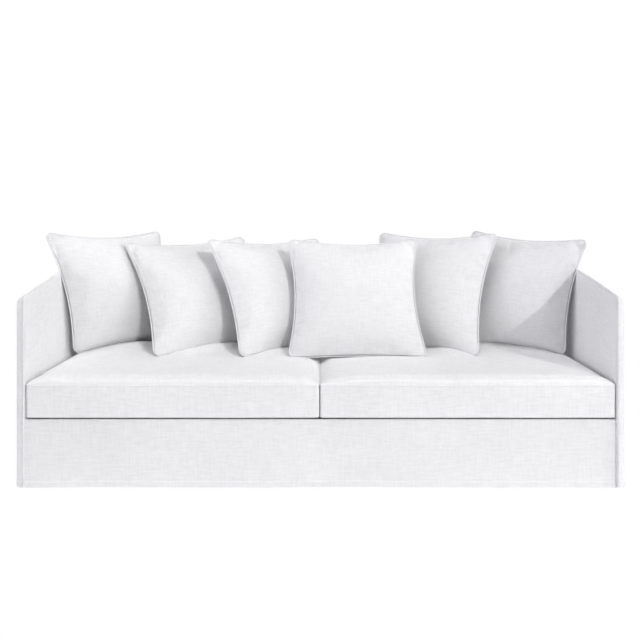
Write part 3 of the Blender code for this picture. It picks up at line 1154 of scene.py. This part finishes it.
    def outer_back(self) -> Object:
        """The outer back panel, wrapped over the top and round both rear corners.

        Returns:
            The panel.
        """
        half, top = SIZES.half_width, SIZES.back_top
        clear = self.bend_clear
        inner = spread(-half + 0.060, half - 0.060, self.wide_cell)
        upper = spread(0.05, top - clear, self.tall_cell)
        obj = self.wrapped_panel(
            "outer_back_cloth",
            np.concatenate([[-half, -half + clear], inner, [half - clear, half]]),
            np.concatenate([self.hem_rows, [0.027], upper, [top]]),
            lambda x, z: at(x, SIZES.depth, z),
            (0.0, SIZES.back_edge_depth - SIZES.depth, 0.0),
            lambda x: np.full_like(x, top),
            (True, True),
        )
        points = read_points(obj)
        x, z = points[:, 0], points[:, 2]
        drop = SIZES.depth + SIZES.front_y - points[:, 1]
        flat = 1.0 - soft_step(drop, 0.0, self.turn_soft)
        inside = flat * soft_step(half - np.abs(x), 0.03, 0.14)
        rise = self.hem_rise(z)
        points[:, 1] -= self.face_sag(x, z, inside, top, 2.7, self.outer_back_creases) - rise * flat
        points[:, 0] += np.sign(x) * rise * (1.0 - flat)
        write_points(obj, points)
        side_share = (top - z) / np.maximum(half - np.abs(x) + top - z, TINY)
        write_cloth_map(obj, x + np.sign(x) * drop * side_share, z + drop * (1.0 - side_share))
        thicken(obj)
        self.finishes.dress(obj, Slot.FRAME, "outer_back")
        seam = self.back_flange()
        x = spread(-half + SIZES.edge_round, half - SIZES.edge_round, self.stitch_run)
        line = at(x, SIZES.depth + self.hem_thick - SIZES.cloth * 1.6, self.hem_stitch_height)
        hem = self.stitches("back_hem_stitches", line, (0.0, 1.0, 0.0))
        return obj

    def seam_path(self, shift: float) -> Array:
        """The arm's seam line from hem to back, moved outwards by a shift.

        Args:
            shift: How far outwards, or inwards where it is negative.

        Returns:
            Points as depth and height.
        """
        corner = SIZES.corner_round
        centre_z = SIZES.arm_front_top - corner + SIZES.arm_slope * corner
        rise = spread(0.003, centre_z, self.seam_step)[:-1]
        turn = np.radians(np.linspace(180.0, 100.0, 9))
        depths = spread(0.045, SIZES.back_edge_depth - SIZES.gap, self.seam_step)
        front = (np.full_like(rise, -shift), rise)
        bend = (corner + (corner + shift) * np.cos(turn), centre_z + (corner + shift) * np.sin(turn))
        top = (depths, SIZES.arm_top(depths) + shift)
        return np.concatenate([np.stack(part, axis=-1) for part in (front, bend, top)])

    def standing_seam(
        self, name: str, node: str, near: Array, far: Array, thick: Point, run: Array
    ) -> Object:
        """A double edge of cloth: two folded layers with a groove between.

        Args:
            name: Name of the piece.
            node: The solid that it replaces.
            near: Sewn-in end of each section, on its first face.
            far: Free end of each section, on its first face.
            thick: From the first face to the second, as long as the edge is thick.
            run: Distance of each section along the seam.

        Returns:
            The seam.
        """
        sides = [near + (far - near) * out + np.array(thick) * up for out, up in self.flange_section]
        around = np.linspace(0.0, self.seam_girth, len(sides))
        obj = skin(name, np.stack(sides, axis=1), run, around, False, 70.0)
        self.finishes.dress(obj, Slot.FRAME, node)
        return obj

    def arm_flange(self, side: Side) -> Object:
        """The standing seam up the arm's front and back along its top.

        Args:
            side: Which arm.

        Returns:
            The seam.
        """
        outside = self.seam_path(SIZES.flange_proud)
        inside = self.seam_path(-SIZES.flange_sewn_in)
        run = run_along(outside)
        sway = self.flange_wave * np.sin(run * 17.0 + side.value) * soft_step(run, 0.0, 0.1)
        x_in = side.value * SIZES.flange_in
        near, far = at(x_in, *inside.T), at(x_in + side.value * sway * 0.6, *outside.T)
        thick = (side.value * SIZES.flange_thick, 0.0, 0.0)
        names = (f"arm_seam_{side.word}", f"arm_flange_{side.word}")
        return self.standing_seam(*names, near, far, thick, run)

    def back_flange(self) -> Object:
        """The standing seam along the top of the back.

        Returns:
            The seam.
        """
        x = spread(-SIZES.inside_half + SIZES.gap, SIZES.inside_half - SIZES.gap, self.seam_step)
        sway = self.flange_wave * np.sin(x * 15.0)
        near = at(x, SIZES.back_flange_depth, SIZES.back_top - SIZES.flange_sewn_in)
        far = at(x, SIZES.back_flange_depth + sway * 0.4, SIZES.back_top + SIZES.flange_proud)
        thick = (0.0, SIZES.flange_thick, 0.0)
        return self.standing_seam("back_seam", "back_flange", near, far, thick, x - x[0])

    def arm_stitches(self, side: Side) -> list[Object]:
        """Topstitches on both faces of the arm's standing seam, and along its hem.

        Args:
            side: Which arm.

        Returns:
            The three rows.
        """
        path = self.seam_path(SIZES.flange_proud - self.stitch_inset)
        rows = []
        faces = (("inner", SIZES.flange_in, -1), ("outer", SIZES.arm_edge_in - SIZES.gap, 1))
        for word, x, outward in faces:
            name = f"arm_seam_{side.word}_{word}_stitches"
            away = (float(side.value * outward), 0.0, 0.0)
            rows.append(self.stitches(name, at(side.value * x, *path.T), away))
        depths = spread(SIZES.edge_round, SIZES.back_edge_depth - 0.01, self.stitch_run)
        height = np.full_like(depths, self.hem_stitch_height)
        inwards = self.face_sag(depths, height, self.arm_face(depths), SIZES.arm_front_top, 1.1)
        line = at(side.value * (SIZES.half_width - inwards + self.hem_rise(height)), depths, height)
        name = f"arm_hem_{side.word}_stitches"
        rows.append(self.stitches(name, line, (float(side.value), 0.0, 0.0)))
        return rows


# ------------------------------------------------------------------ filled pieces


class Filled:
    """A filled piece: a start shape that is blown up by simulation and then finished."""

    obj: Object
    finishes: Finishes
    cap: float

    def start(self, name: str, points: Array, faces: Sequence[Sequence[int]], held: Array) -> None:
        """Makes the start shape.

        Args:
            name: Name of the piece.
            points: Places of the vertices.
            faces: Vertex numbers of each face.
            held: Numbers of the vertices that stay where they are.
        """
        self.obj = closed_mesh(name, points, faces)
        self.obj.vertex_groups.new(name=SEAM_GROUP).add(held.tolist(), 1.0, "REPLACE")

    def close(self, slot: Slot, node: str, fill: float, angle: float, *sewn_on: Object) -> None:
        """Smooths the piece, joins what is sewn on to it and dresses it.

        Args:
            slot: Which linen it is cut from.
            node: The solid that it replaces.
            fill: How tight it is filled. It is not used.
            angle: Angle above which an edge stays sharp, in degrees.
            sewn_on: What becomes part of the piece.
        """
        apply_modifier(self.obj, "SUBSURF", levels=1, render_levels=1)
        if sewn_on:
            select_only(self.obj, *sewn_on)
            bpy.ops.object.join()
        shade_soft(self.obj, angle)
        self.finishes.dress(self.obj, slot, node)


@dataclass
class Filling:
    """Blows filled pieces up with cloth simulation, seams held, and limits the swelling."""

    pressure: float = 4.0
    frames: int = 20
    stretch: float = 15.0
    bending: float = 0.4
    fullness: float = 0.02
    quality: int = 4

    def swell(self, pieces: Sequence[Filled]) -> None:
        """Simulates all the pieces side by side.

        Args:
            pieces: The filled pieces, each with its start shape.
        """
        for piece in pieces:
            modifier = piece.obj.modifiers.new("Cloth", "CLOTH")
            modifier.collision_settings.use_collision = False
            cloth = modifier.settings
            cloth.effector_weights.gravity = 0.0
            cloth.use_pressure = True
            cloth.uniform_pressure_force = self.pressure
            cloth.tension_stiffness = self.stretch
            cloth.compression_stiffness = self.stretch
            cloth.bending_stiffness = self.bending
            cloth.shrink_min = -self.fullness
            cloth.vertex_group_mass = SEAM_GROUP
            cloth.quality = self.quality
        for number in range(1, self.frames + 1):
            bpy.context.scene.frame_set(number)
        for piece in pieces:
            start = read_points(piece.obj)
            select_only(piece.obj)
            bpy.ops.object.modifier_apply(modifier="Cloth")
            moved = read_points(piece.obj) - start
            reach = np.linalg.norm(moved, axis=1, keepdims=True)
            limited = moved * np.minimum(1.0, piece.cap / np.maximum(reach, 1e-9))
            write_points(piece.obj, start + limited)
        bpy.context.scene.frame_set(1)


@dataclass
class SeatCushion(Filled):
    """A boxed cushion with a crowned top, a raised top seam and slightly full walls."""

    side: Side
    finishes: Finishes
    gap: float = 0.004
    joint_gap: float = 0.0025
    joint: float = -0.003
    front: float = -0.004
    back: float = 0.855
    seam: float = 0.382
    crown: float = 0.026
    roll: int = 10
    front_roll: int = 64
    joint_roll: int = 5
    overhang: float = 0.0025
    held_edge: float = 0.024
    ripple: float = 0.0016
    pitch: float = 0.024
    corner: float = 0.012
    wave: float = 0.0012
    bottom_inset: float = 0.085
    side_growth: float = 0.25
    welt: float = 0.001575
    cell: float = 0.0125
    settle: float = 0.003
    pucker: float = 0.0007
    pucker_reach: float = 0.035
    wall_ease: float = 0.0010
    wall_reach: float = 0.01
    fill: float = 0.75
    cap: float = 0.008

    corner_places = (0.0, 0.004, 0.008, 0.0125, 0.020)
    foot_places = (0.0050, 0.0070, 0.0100, 0.0145, 0.0220)
    foot_growth = (
        # height above the front rail, growth of the outline
        (0.0050, -0.014), (0.0070, -0.003), (0.0100, 0.0008), (0.045, 0.0), (0.098, 0.001),
    )
    top_creases = {
        # troughs in the top and, where negative, puffs between the pillows, by x and depth
        Side.LEFT: (
            Crease((-0.95, 0.15), (-0.30, 0.20), 0.0030, 0.060),
            Crease((-1.02, 0.41), (-0.70, 0.58), -0.026, 0.060),
            Crease((-0.66, 0.36), (-0.31, 0.56), -0.026, 0.060),
            Crease((-0.29, 0.35), (-0.08, 0.48), -0.020, 0.050),
            Crease((-0.24, 0.30), (0.06, 0.30), -0.005, 0.030),
        ),
        Side.RIGHT: (
            Crease((0.20, 0.17), (0.85, 0.22), 0.0030, 0.060),
            Crease((0.45, 0.46), (0.66, 0.35), -0.020, 0.050),
            Crease((-0.04, 0.30), (0.52, 0.30), -0.005, 0.030),
            Crease((0.64, 0.60), (1.02, 0.40), -0.026, 0.060),
        ),
    }

    def __post_init__(self) -> None:
        """Works out the cushion's middle and half sizes."""
        sign = self.side.value
        inner = self.joint_gap / 2 + sign * self.joint
        outer = SIZES.inside_half - self.gap / 2
        self.half_x = (outer - inner) / 2
        self.half_y = (self.back - self.front) / 2
        self.centre_x = sign * (inner + outer) / 2
        self.centre_depth = (self.front + self.back) / 2
        self.bottom = SIZES.deck_top + SIZES.gap

    def places(self, half: float) -> Array:
        """Places across the cushion, closer together at its round corners."""
        near, middle = np.array(self.corner_places), spread(-half + 0.030, half - 0.030, self.cell)
        return np.concatenate([-half + near, middle, half - near[::-1]])

    def shares(self, x: Array, y: Array) -> tuple[Array, Array]:
        """Places on the outline as shares of its half sizes, from -1 to 1."""
        return np.clip(x / self.half_x, -1, 1), np.clip(y / self.half_y, -1, 1)

    def round_corners(self, x: Array, y: Array) -> tuple[Array, Array]:
        """Turns the square corners of the outline into round ones.

        Args:
            x: Places across, from the middle.
            y: Places backwards, from the middle.

        Returns:
            The new places across and backwards.
        """
        core_x = np.clip(x, -self.half_x + self.corner, self.half_x - self.corner)
        core_y = np.clip(y, -self.half_y + self.corner, self.half_y - self.corner)
        dx, dy = x - core_x, y - core_y
        size = np.maximum(np.hypot(dx, dy), 1e-9)
        scale = np.where(size > 1e-8, np.maximum(np.abs(dx), np.abs(dy)) / size, 1.0)
        return core_x + dx * scale, core_y + dy * scale

    def surface(self, x: Array, y: Array) -> Array:
        """Height of the crowned top over the outline, before the filling swells.

        Args:
            x: Places across, from the middle.
            y: Places backwards, from the middle.

        Returns:
            The height at each place.
        """
        sign = self.side.value
        a, b = self.shares(x, y)
        roll_x = np.where(a * sign < 0, self.joint_roll, self.roll)
        roll_y = np.where(b < 0, self.front_roll, self.roll)
        dome = np.sqrt((1 - np.abs(a) ** roll_x) * (1 - np.abs(b) ** roll_y))
        ripple = 0.6 * np.sin(10.6 * a + 0.7 * sign) + 0.4 * np.sin(25.4 * a + 1.4 * sign + 6.6 * b)
        z = self.seam - self.pitch * (self.centre_depth + y)
        z = z + self.edge_wave(x, y) * np.maximum(np.abs(a), np.abs(b)) ** 8
        room = (1 - np.abs(a) ** self.roll) * (1 - np.abs(b) ** self.roll)
        return z + (self.crown + self.ripple * ripple) * dome - self.settle * room

    def edge_wave(self, x: Array, y: Array) -> Array:
        """Slight rise and fall of the seams.

        Args:
            x: Places across, from the middle.
            y: Places backwards, from the middle.

        Returns:
            The rise at each place.
        """
        along = x + 0.3 * self.side.value
        phase = 1.0 + self.side.value
        broad = 0.6 * np.sin(5.3 * along + phase)
        return self.wave * (broad + 0.4 * np.sin(12.7 * along + 2.0 * phase + 2.2 * y))

    def wall_rows(self) -> tuple[Array, Array]:
        """The rows of the wall.

        Returns:
            Their heights, and how far the outline grows at each.
        """
        known = [(SIZES.rail_top + above, grown) for above, grown in self.foot_growth]
        known = np.array([(self.bottom, -self.bottom_inset), *known, (self.seam, 0.0)])
        upper = spread(SIZES.rail_top + 0.034, self.seam, self.cell)
        rows = np.concatenate([[self.bottom], SIZES.rail_top + np.array(self.foot_places), upper])
        return rows, np.interp(rows, known[:, 0], known[:, 1])

    def build(self) -> None:
        """Makes the start shape: a lattice box, rounded, crowned and pinned at its seams."""
        xs, ys = self.places(self.half_x), self.places(self.half_y)
        heights, growth = self.wall_rows()
        shell = np.ones((len(xs), len(ys), len(heights)), dtype=bool)
        shell[1:-1, 1:-1, 1:-1] = False
        number = np.cumsum(shell).reshape(shell.shape) - 1
        i, j, k = np.nonzero(shell)
        x, y = self.round_corners(xs[i], ys[j])
        lift = (heights[k] - self.bottom) / (self.seam - self.bottom)
        tilt = -self.pitch * (self.centre_depth + y)
        top = k == len(heights) - 1
        z = heights[k] + lift * (tilt + self.edge_wave(x, y))
        points = at(
            self.centre_x + x + self.side_growth * growth[k] * x / self.half_x,
            self.centre_depth + y + growth[k] * y / self.half_y,
            np.where(top, self.surface(x, y), z),
        )
        sides = [np.take(number, end, axis=axis) for axis in range(3) for end in (0, -1)]
        faces = [face for side in sides for face in grid_faces(side)]
        rim = (i == 0) | (i == len(xs) - 1) | (j == 0) | (j == len(ys) - 1)
        held = np.nonzero(~top | rim | (y < -self.half_y + self.held_edge))[0]
        self.start(f"seat_cushion_{self.side.word}_cover", points, faces, held)
        self.map_cloth()

    def map_cloth(self) -> None:
        """Maps each side of the box from the plane that it faces."""
        mesh = self.obj.data
        points = read_points(self.obj)
        places = np.zeros((len(mesh.loops), 2))
        for polygon in mesh.polygons:
            plane = ((1, 2), (0, 2), (0, 1))[int(np.argmax(np.abs(polygon.normal)))]
            for corner in polygon.loop_indices:
                places[corner] = points[mesh.loops[corner].vertex_index][list(plane)]
        write_cloth_map(self.obj, *places.T)

    def finish(self) -> None:
        """Lays in the creases, smooths the piece, sews on the raised seam and dresses it."""
        points = read_points(self.obj)
        x, z = points[:, 0], points[:, 2]
        depth = points[:, 1] - SIZES.front_y
        inward = np.abs(self.half_y + depth - self.centre_depth)
        seam = self.seam - self.pitch * depth
        on_top = soft_step(z, seam, self.seam + 0.008)
        for crease in self.top_creases[self.side]:
            points[:, 2] -= on_top * crease.relief(x, depth)
        bulge = np.exp(-(((inward - 0.005) / 0.005) ** 2)) * soft_step(inward, 0.0, 0.004)
        points[:, 1] -= self.overhang * on_top * bulge
        local_x = x - self.centre_x
        gather = np.sin(local_x * 190.0 + 2.0 * np.sin(local_x * 23.0))
        points[:, 2] += on_top * self.pucker * (gather * np.exp(-inward / self.pucker_reach))
        wall = (1.0 - soft_step(z, seam - 0.020, self.seam)) * np.exp(-inward / self.wall_reach)
        points[:, 1] += self.wall_ease * wall * drift(x * 1.6, z, 1.3)
        write_points(self.obj, points)
        self.close(Slot.SEAT, f"seat_cushion_{self.side.word}", self.fill, 75.0, self.raised_seam())

    def raised_seam(self) -> Object:
        """The thin ridge where the top is sewn to the walls.

        Returns:
            The ridge.
        """
        sides = rectangle_loop(self.places(self.half_x), self.places(self.half_y))
        x, y = self.round_corners(*sides)
        z = self.seam - self.pitch * (self.centre_depth + y) + self.edge_wave(x, y)
        path = at(self.centre_x + x, self.centre_depth + y, z)
        return cord_loop("raised_seam", path, self.welt, 8)


@dataclass
class Pillow(Filled):
    """A square feather pillow leaning on the back, slumped a little, with a piped edge."""

    name: str
    bottom_left: Point
    bottom_right: Point
    top_left: Point
    top_right: Point
    phase: float
    finishes: Finishes
    half_thick: float = 0.084
    cells: int = 56
    piping_cells: int = 72
    piping_sides: int = 10
    front_plump: float = 1.13
    draw_in: float = 0.125
    foot_draw_in: float = 0.03
    tip_round: float = 0.025
    corner_round: float = 0.11
    slump: float = 0.16
    plump_fall: float = 0.60
    start_share: float = 0.92
    pucker: float = 0.0005
    pucker_reach: float = 0.022
    crumple: float = 0.0016
    crumple_reach: float = 0.05
    foot_start: float = 0.55
    piping_radius: float = 0.0026
    piping_offset: float = 0.0022
    half_side: float = 0.30
    fill: float = 0.6
    cap: float = 0.014

    def __post_init__(self) -> None:
        """Turns the corners into points, moved to the height at which the solid rests."""
        corners = (self.bottom_left, self.bottom_right, self.top_left, self.top_right)
        self.corners = [at(*np.array(corner)) for corner in corners]
        diagonals = (self.corners[3] - self.corners[0], self.corners[2] - self.corners[1])
        normal = unit(np.cross(*diagonals))
        self.normal = -normal if normal[1] > 0 else normal
        solid_shares = np.sin(0.5 * math.pi * np.linspace(-1, 1, 15))
        path = self.piping_path(solid_shares, rounded=False)
        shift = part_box(f"{self.name}_piping")[1].z - (path[:, 2].max() + self.piping_radius)
        self.corners = [corner + np.array([0.0, 0.0, shift]) for corner in self.corners]

    def middle(self, u: Array, v: Array, rounded: bool = True) -> Array:
        """Points of the seam's plane, with sides drawn in between the rounded tips.

        Args:
            u: Places across, from -1 to 1.
            v: Places up, from -1 to 1.
            rounded: Whether the four corners are round.

        Returns:
            The points.
        """
        if rounded:
            u, v = self.round_tips(u, v)
        tip = self.tip_round * np.abs(u * v) ** 12
        draw = np.where(v > 0, self.draw_in, self.foot_draw_in)
        across = (1 + u * (1 - self.draw_in * (1 - v * v) - tip))[..., None] / 2
        up = (1 + v * (1 - draw * (1 - u * u) - tip))[..., None] / 2
        bottom_left, bottom_right, top_left, top_right = self.corners
        low = bottom_left + (bottom_right - bottom_left) * across
        high = top_left + (top_right - top_left) * across
        return low + (high - low) * up

    def round_tips(self, u: Array, v: Array) -> tuple[Array, Array]:
        """Turns the square's corners into quarter circles.

        Args:
            u: Places across, from -1 to 1.
            v: Places up, from -1 to 1.

        Returns:
            The new places across and up.
        """
        core = 1.0 - self.corner_round
        a, b = (np.clip(np.abs(place) - core, 0.0, None) / self.corner_round for place in (u, v))
        round_u = core + self.corner_round * a * np.sqrt(1 - b * b / 2)
        round_v = core + self.corner_round * b * np.sqrt(1 - a * a / 2)
        return np.where(a > 0, np.sign(u) * round_u, u), np.where(b > 0, np.sign(v) * round_v, v)

    def thickness(self, u: Array, v: Array, sign: Array) -> Array:
        """Filled thickness on one side of the seam, fullest a little below the middle.

        Args:
            u: Places across, from -1 to 1.
            v: Places up, from -1 to 1.
            sign: 1 on the front and -1 on the back.

        Returns:
            How far the cloth stands off the seam's plane.
        """
        dome = np.clip((1 - u * u) * (1 - v * v), 0.0, None) ** self.plump_fall
        dent = 1 + 0.05 * np.sin(3.1 * u + self.phase) * np.cos(2.7 * v - self.phase)
        plump = np.where(sign > 0, self.front_plump, 1.0)
        return plump * self.half_thick * dome * (1 - self.slump * v) * dent

    def shares(self, cells: int) -> Array:
        """Places from edge to edge, closer together near the seams."""
        even = np.linspace(-1.0, 1.0, cells + 1)
        return even * (1.3 - 0.3 * even * even)

    def build(self) -> None:
        """Makes the start shape: two squares of cloth, a front and a back, sewn all round."""
        shares = self.shares(self.cells)
        u, v = np.meshgrid(shares, shares, indexing="ij")
        inner = np.zeros(u.shape, dtype=bool)
        inner[1:-1, 1:-1] = True
        front = np.arange(u.size).reshape(u.shape)
        back = front.copy()
        back[inner] = u.size + np.arange(np.count_nonzero(inner))
        self.u, self.v = (np.concatenate([place.ravel(), place[inner]]) for place in (u, v))
        self.face_sign = np.where(np.arange(self.u.size) < u.size, 1.0, -1.0)
        self.plane = self.middle(self.u, self.v)
        self.floor = self.middle(self.u, np.full_like(self.v, -1.0))[:, 2]
        stand_off = self.thickness(self.u, self.v, self.face_sign) * self.start_share * self.face_sign
        points = self.plane + self.normal * stand_off[:, None]
        points[:, 2] = np.maximum(points[:, 2], self.floor)
        faces = grid_faces(front) + [face[::-1] for face in grid_faces(back)]
        self.start(f"{self.name}_cover", points, faces, front[~inner])
        write_cloth_map(self.obj, self.u * self.half_side, self.v * self.half_side)

    def finish(self) -> None:
        """Keeps the pillow inside its room, adds its seam puckers and dresses it."""
        points = read_points(self.obj)
        room = self.thickness(self.u, self.v, self.face_sign)
        over = np.maximum(((points - self.plane) @ self.normal) * self.face_sign - room, 0.0)
        across, up = self.u * self.half_side, self.v * self.half_side
        edge = np.minimum(1 - np.abs(self.u), 1 - np.abs(self.v)) * self.half_side
        along = np.where(np.abs(self.u) > np.abs(self.v), up, across)
        gather = np.sin(along * 210.0 + 1.7 * np.sin(along * 31.0 + self.phase))
        relief = self.pucker * gather * np.exp(-edge / self.pucker_reach) * soft_step(edge, 0.0, 0.008)
        uneven = self.crumple * drift(across * 1.5, up * 1.5, self.phase)
        uneven = uneven * (1 - np.exp(-edge / self.crumple_reach))
        relief = (relief + uneven) * soft_step(edge, 0.0, 0.01)
        points += self.normal * ((relief - over) * self.face_sign)[:, None]
        points[:, 2] = np.maximum(points[:, 2], self.floor)
        write_points(self.obj, points)
        foot = self.obj.vertex_groups.new(name="foot")
        weights = soft_step(-self.v, self.foot_start, 0.85)
        for index in np.nonzero((self.v < -self.foot_start) & (edge > TINY))[0].tolist():
            foot.add([index], float(weights[index]), "REPLACE")
        apply_modifier(self.obj, "SMOOTH", factor=0.5, iterations=8, vertex_group="foot")
        self.close(Slot.PILLOW, self.name, self.fill, 80.0)
        path = self.piping_path(self.shares(self.piping_cells))
        name = f"{self.name}_piping"
        cord = cord_loop(f"{name}_cord", path, self.piping_radius, self.piping_sides)
        self.finishes.dress(cord, Slot.PIPING, name)

    def piping_path(self, shares: Array, rounded: bool = True) -> Array:
        """The line of the piping, just outside the seam all the way round.

        Args:
            shares: Places along each side of the square, from -1 to 1.
            rounded: Whether the four corners are round.

        Returns:
            Points along the loop.
        """
        points = self.middle(*rectangle_loop(shares, shares), rounded)
        outwards = np.cross(heading(points), self.normal)
        inward = np.sum(outwards * (points - points.mean(axis=0)), axis=1) < 0
        outwards[inward] *= -1
        return points + unit(outwards) * self.piping_offset


def pillows(finishes: Finishes) -> list[Pillow]:
    """The six pillows from left to right, by their corners as x, depth and height.

    Args:
        finishes: The linens.

    Returns:
        The pillows, not yet made.
    """
    return [
        Pillow("pillow_1", (-1.076, 0.395, 0.389), (-0.660, 0.710, 0.385),
               (-1.150, 0.265, 0.928), (-0.791, 0.750, 0.903), 0.3, finishes, half_thick=0.077),
        Pillow("pillow_2", (-0.709, 0.320, 0.405), (-0.210, 0.655, 0.400),
               (-0.895, 0.510, 0.876), (-0.388, 0.850, 0.880), 1.5, finishes),
        Pillow("pillow_3", (-0.342, 0.310, 0.410), (0.150, 0.655, 0.400),
               (-0.520, 0.500, 0.898), (-0.012, 0.840, 0.876), 2.6, finishes),
        Pillow("pillow_4", (-0.140, 0.325, 0.396), (0.456, 0.325, 0.400),
               (-0.155, 0.545, 0.886), (0.444, 0.545, 0.886), 3.9, finishes),
        Pillow("pillow_5", (0.185, 0.665, 0.400), (0.675, 0.330, 0.408),
               (0.298, 0.840, 0.902), (0.809, 0.510, 0.922), 4.4, finishes),
        Pillow("pillow_6", (0.610, 0.600, 0.390), (1.066, 0.390, 0.389),
               (0.750, 0.780, 0.910), (1.149, 0.345, 0.897), 5.7, finishes),
    ]


# ------------------------------------------------------------------ studio


@dataclass(frozen=True)
class SoftLight:
    """A far, soft studio light."""

    name: str
    towards: Point
    strength: float
    angle: float
    colour: Point


def add_light(name: str, kind: str, towards: Point, **settings: object) -> Object:
    """Adds a light that shines from a direction.

    Args:
        name: Name of the light.
        kind: Blender's name of the kind of light.
        towards: The way to the light, from what it lights.
        settings: Values of the light's own settings.

    Returns:
        The light.
    """
    data = bpy.data.lights.new(name, kind)
    for setting, value in settings.items():
        setattr(data, setting, value)
    light = link_new(name, data)
    light.rotation_mode = "QUATERNION"
    light.rotation_quaternion = Vector(towards).to_track_quat("Z", "Y")
    return light


def white_to_camera(tree: Tree, lit: bpy.types.Node, seen: bpy.types.Node, output: str) -> None:
    """Gives camera rays one shader and all other rays another.

    Args:
        tree: The nodes.
        lit: The shader for all other rays.
        seen: The shader for camera rays.
        output: Name of the output node.
    """
    rays = add_node(tree, "LightPath", {})
    shaders = {"Fac": rays.outputs["Is Camera Ray"], 1: lit.outputs[0], 2: seen.outputs[0]}
    mix = add_node(tree, "MixShader", shaders)
    feed(tree, tree.nodes[output], {"Surface": mix.outputs[0]})


@dataclass
class Studio:
    """Camera, lights and the plain pale floor."""

    camera_place: Point = (0.0, -2.87, 1.114)
    lens: float = 36.0
    sensor: float = 36.0
    frame_pixels: float = 641.0
    horizon_row: float = 190.0
    softbox_place: Point = (2.9, -3.4, 1.3)
    softbox_size: float = 2.2
    softbox_power: float = 24.0
    softbox_aim: float = 0.40
    sky_colour: Point = (0.95, 0.95, 1.03)
    sky_strength: float = 0.03
    floor_colour: Point = (0.75, 0.75, 0.765)
    floor_size: float = 60.0
    floor_drop: float = 0.0015

    lights = (
        SoftLight("key", (0.511, -0.730, 0.454), 1.22, 2.0, (1.0, 0.995, 0.98)),
        SoftLight("front_fill", (-0.68, -0.72, 0.12), 0.54, 25.0, (0.985, 0.985, 1.01)),
        SoftLight("left_fill", (-1.0, -0.20, 0.18), 1.30, 40.0, (0.97, 0.965, 1.03)),
        SoftLight("right_fill", (1.0, -0.20, 0.20), 1.46, 40.0, (0.99, 0.985, 1.0)),
        SoftLight("back_fill", (0.1, 0.5, 0.85), 0.38, 40.0, (0.99, 0.99, 1.0)),
        SoftLight("top_fill", (0.0, -0.17, 1.0), 1.42, 28.0, (0.99, 0.99, 1.0)),
    )

    def build(self) -> None:
        """Sets up the whole studio."""
        bpy.context.scene.view_settings.view_transform = "Standard"
        self.camera()
        for light in self.lights:
            settings = {"energy": light.strength, "color": light.colour}
            add_light(light.name, "SUN", light.towards, angle=math.radians(light.angle), **settings)
        self.softbox()
        self.sky()
        self.floor()

    def camera(self) -> None:
        """A level camera, shifted down so that uprights stay upright."""
        data = bpy.data.cameras.new("camera")
        data.lens = self.lens
        data.sensor_width = self.sensor
        data.shift_y = (self.horizon_row - self.frame_pixels / 2) / self.frame_pixels
        camera = link_new("camera", data)
        camera.location = self.camera_place
        camera.rotation_euler = (math.pi / 2, 0.0, 0.0)
        bpy.context.scene.camera = camera

    def softbox(self) -> None:
        """A near softbox on the right, so that the cover grows darker towards the left."""
        towards = Vector(self.softbox_place) - Vector((0.0, 0.0, self.softbox_aim))
        settings = {"shape": "SQUARE", "size": self.softbox_size, "energy": self.softbox_power}
        light = add_light("softbox", "AREA", towards, **settings)
        light.location = self.softbox_place

    def sky(self) -> None:
        """A little soft light from all round, before a white backdrop."""
        world = bpy.data.worlds.new("studio")
        world.use_nodes = True
        bpy.context.scene.world = world
        tree = world.node_tree
        fill = tree.nodes["Background"]
        feed(tree, fill, {"Color": (*self.sky_colour, 1.0), "Strength": self.sky_strength})
        backdrop = add_node(tree, "Background", {"Color": (1.0, 1.0, 1.0, 1.0)})
        white_to_camera(tree, fill, backdrop, "World Output")

    def floor(self) -> None:
        """A plain white floor that reaches the horizon."""
        select_only()
        place = (0.0, 0.0, -self.floor_drop)
        bpy.ops.mesh.primitive_plane_add(size=self.floor_size, location=place)
        floor = bpy.context.active_object
        floor.name = "studio_floor"
        material = bpy.data.materials.new("studio floor")
        material.use_nodes = True
        tree = material.node_tree
        tree.nodes.remove(tree.nodes["Principled BSDF"])
        paper = add_node(tree, "BsdfDiffuse", {"Color": (*self.floor_colour, 1.0)})
        glow = add_node(tree, "Emission", {})
        white_to_camera(tree, paper, glow, "Material Output")
        floor.data.materials.append(material)


def main() -> None:
    """Builds the studio, the frame cover and the filled pieces, and reports each."""
    logging.basicConfig(level=logging.INFO, format="%(name)s: %(message)s")
    Studio().build()
    finishes = Finishes()
    finishes.prepare()
    for panel in FrameCover(finishes).build():
        LOG.info("%s: %d faces", panel.name, len(panel.data.polygons))
    filled = [*(SeatCushion(side, finishes) for side in Side), *pillows(finishes)]
    for piece in filled:
        piece.build()
    Filling().swell(filled)
    for piece in filled:
        piece.finish()
        LOG.info("%s: %d faces", piece.obj.name, len(piece.obj.data.polygons))


if __name__ == "__main__":
    main()
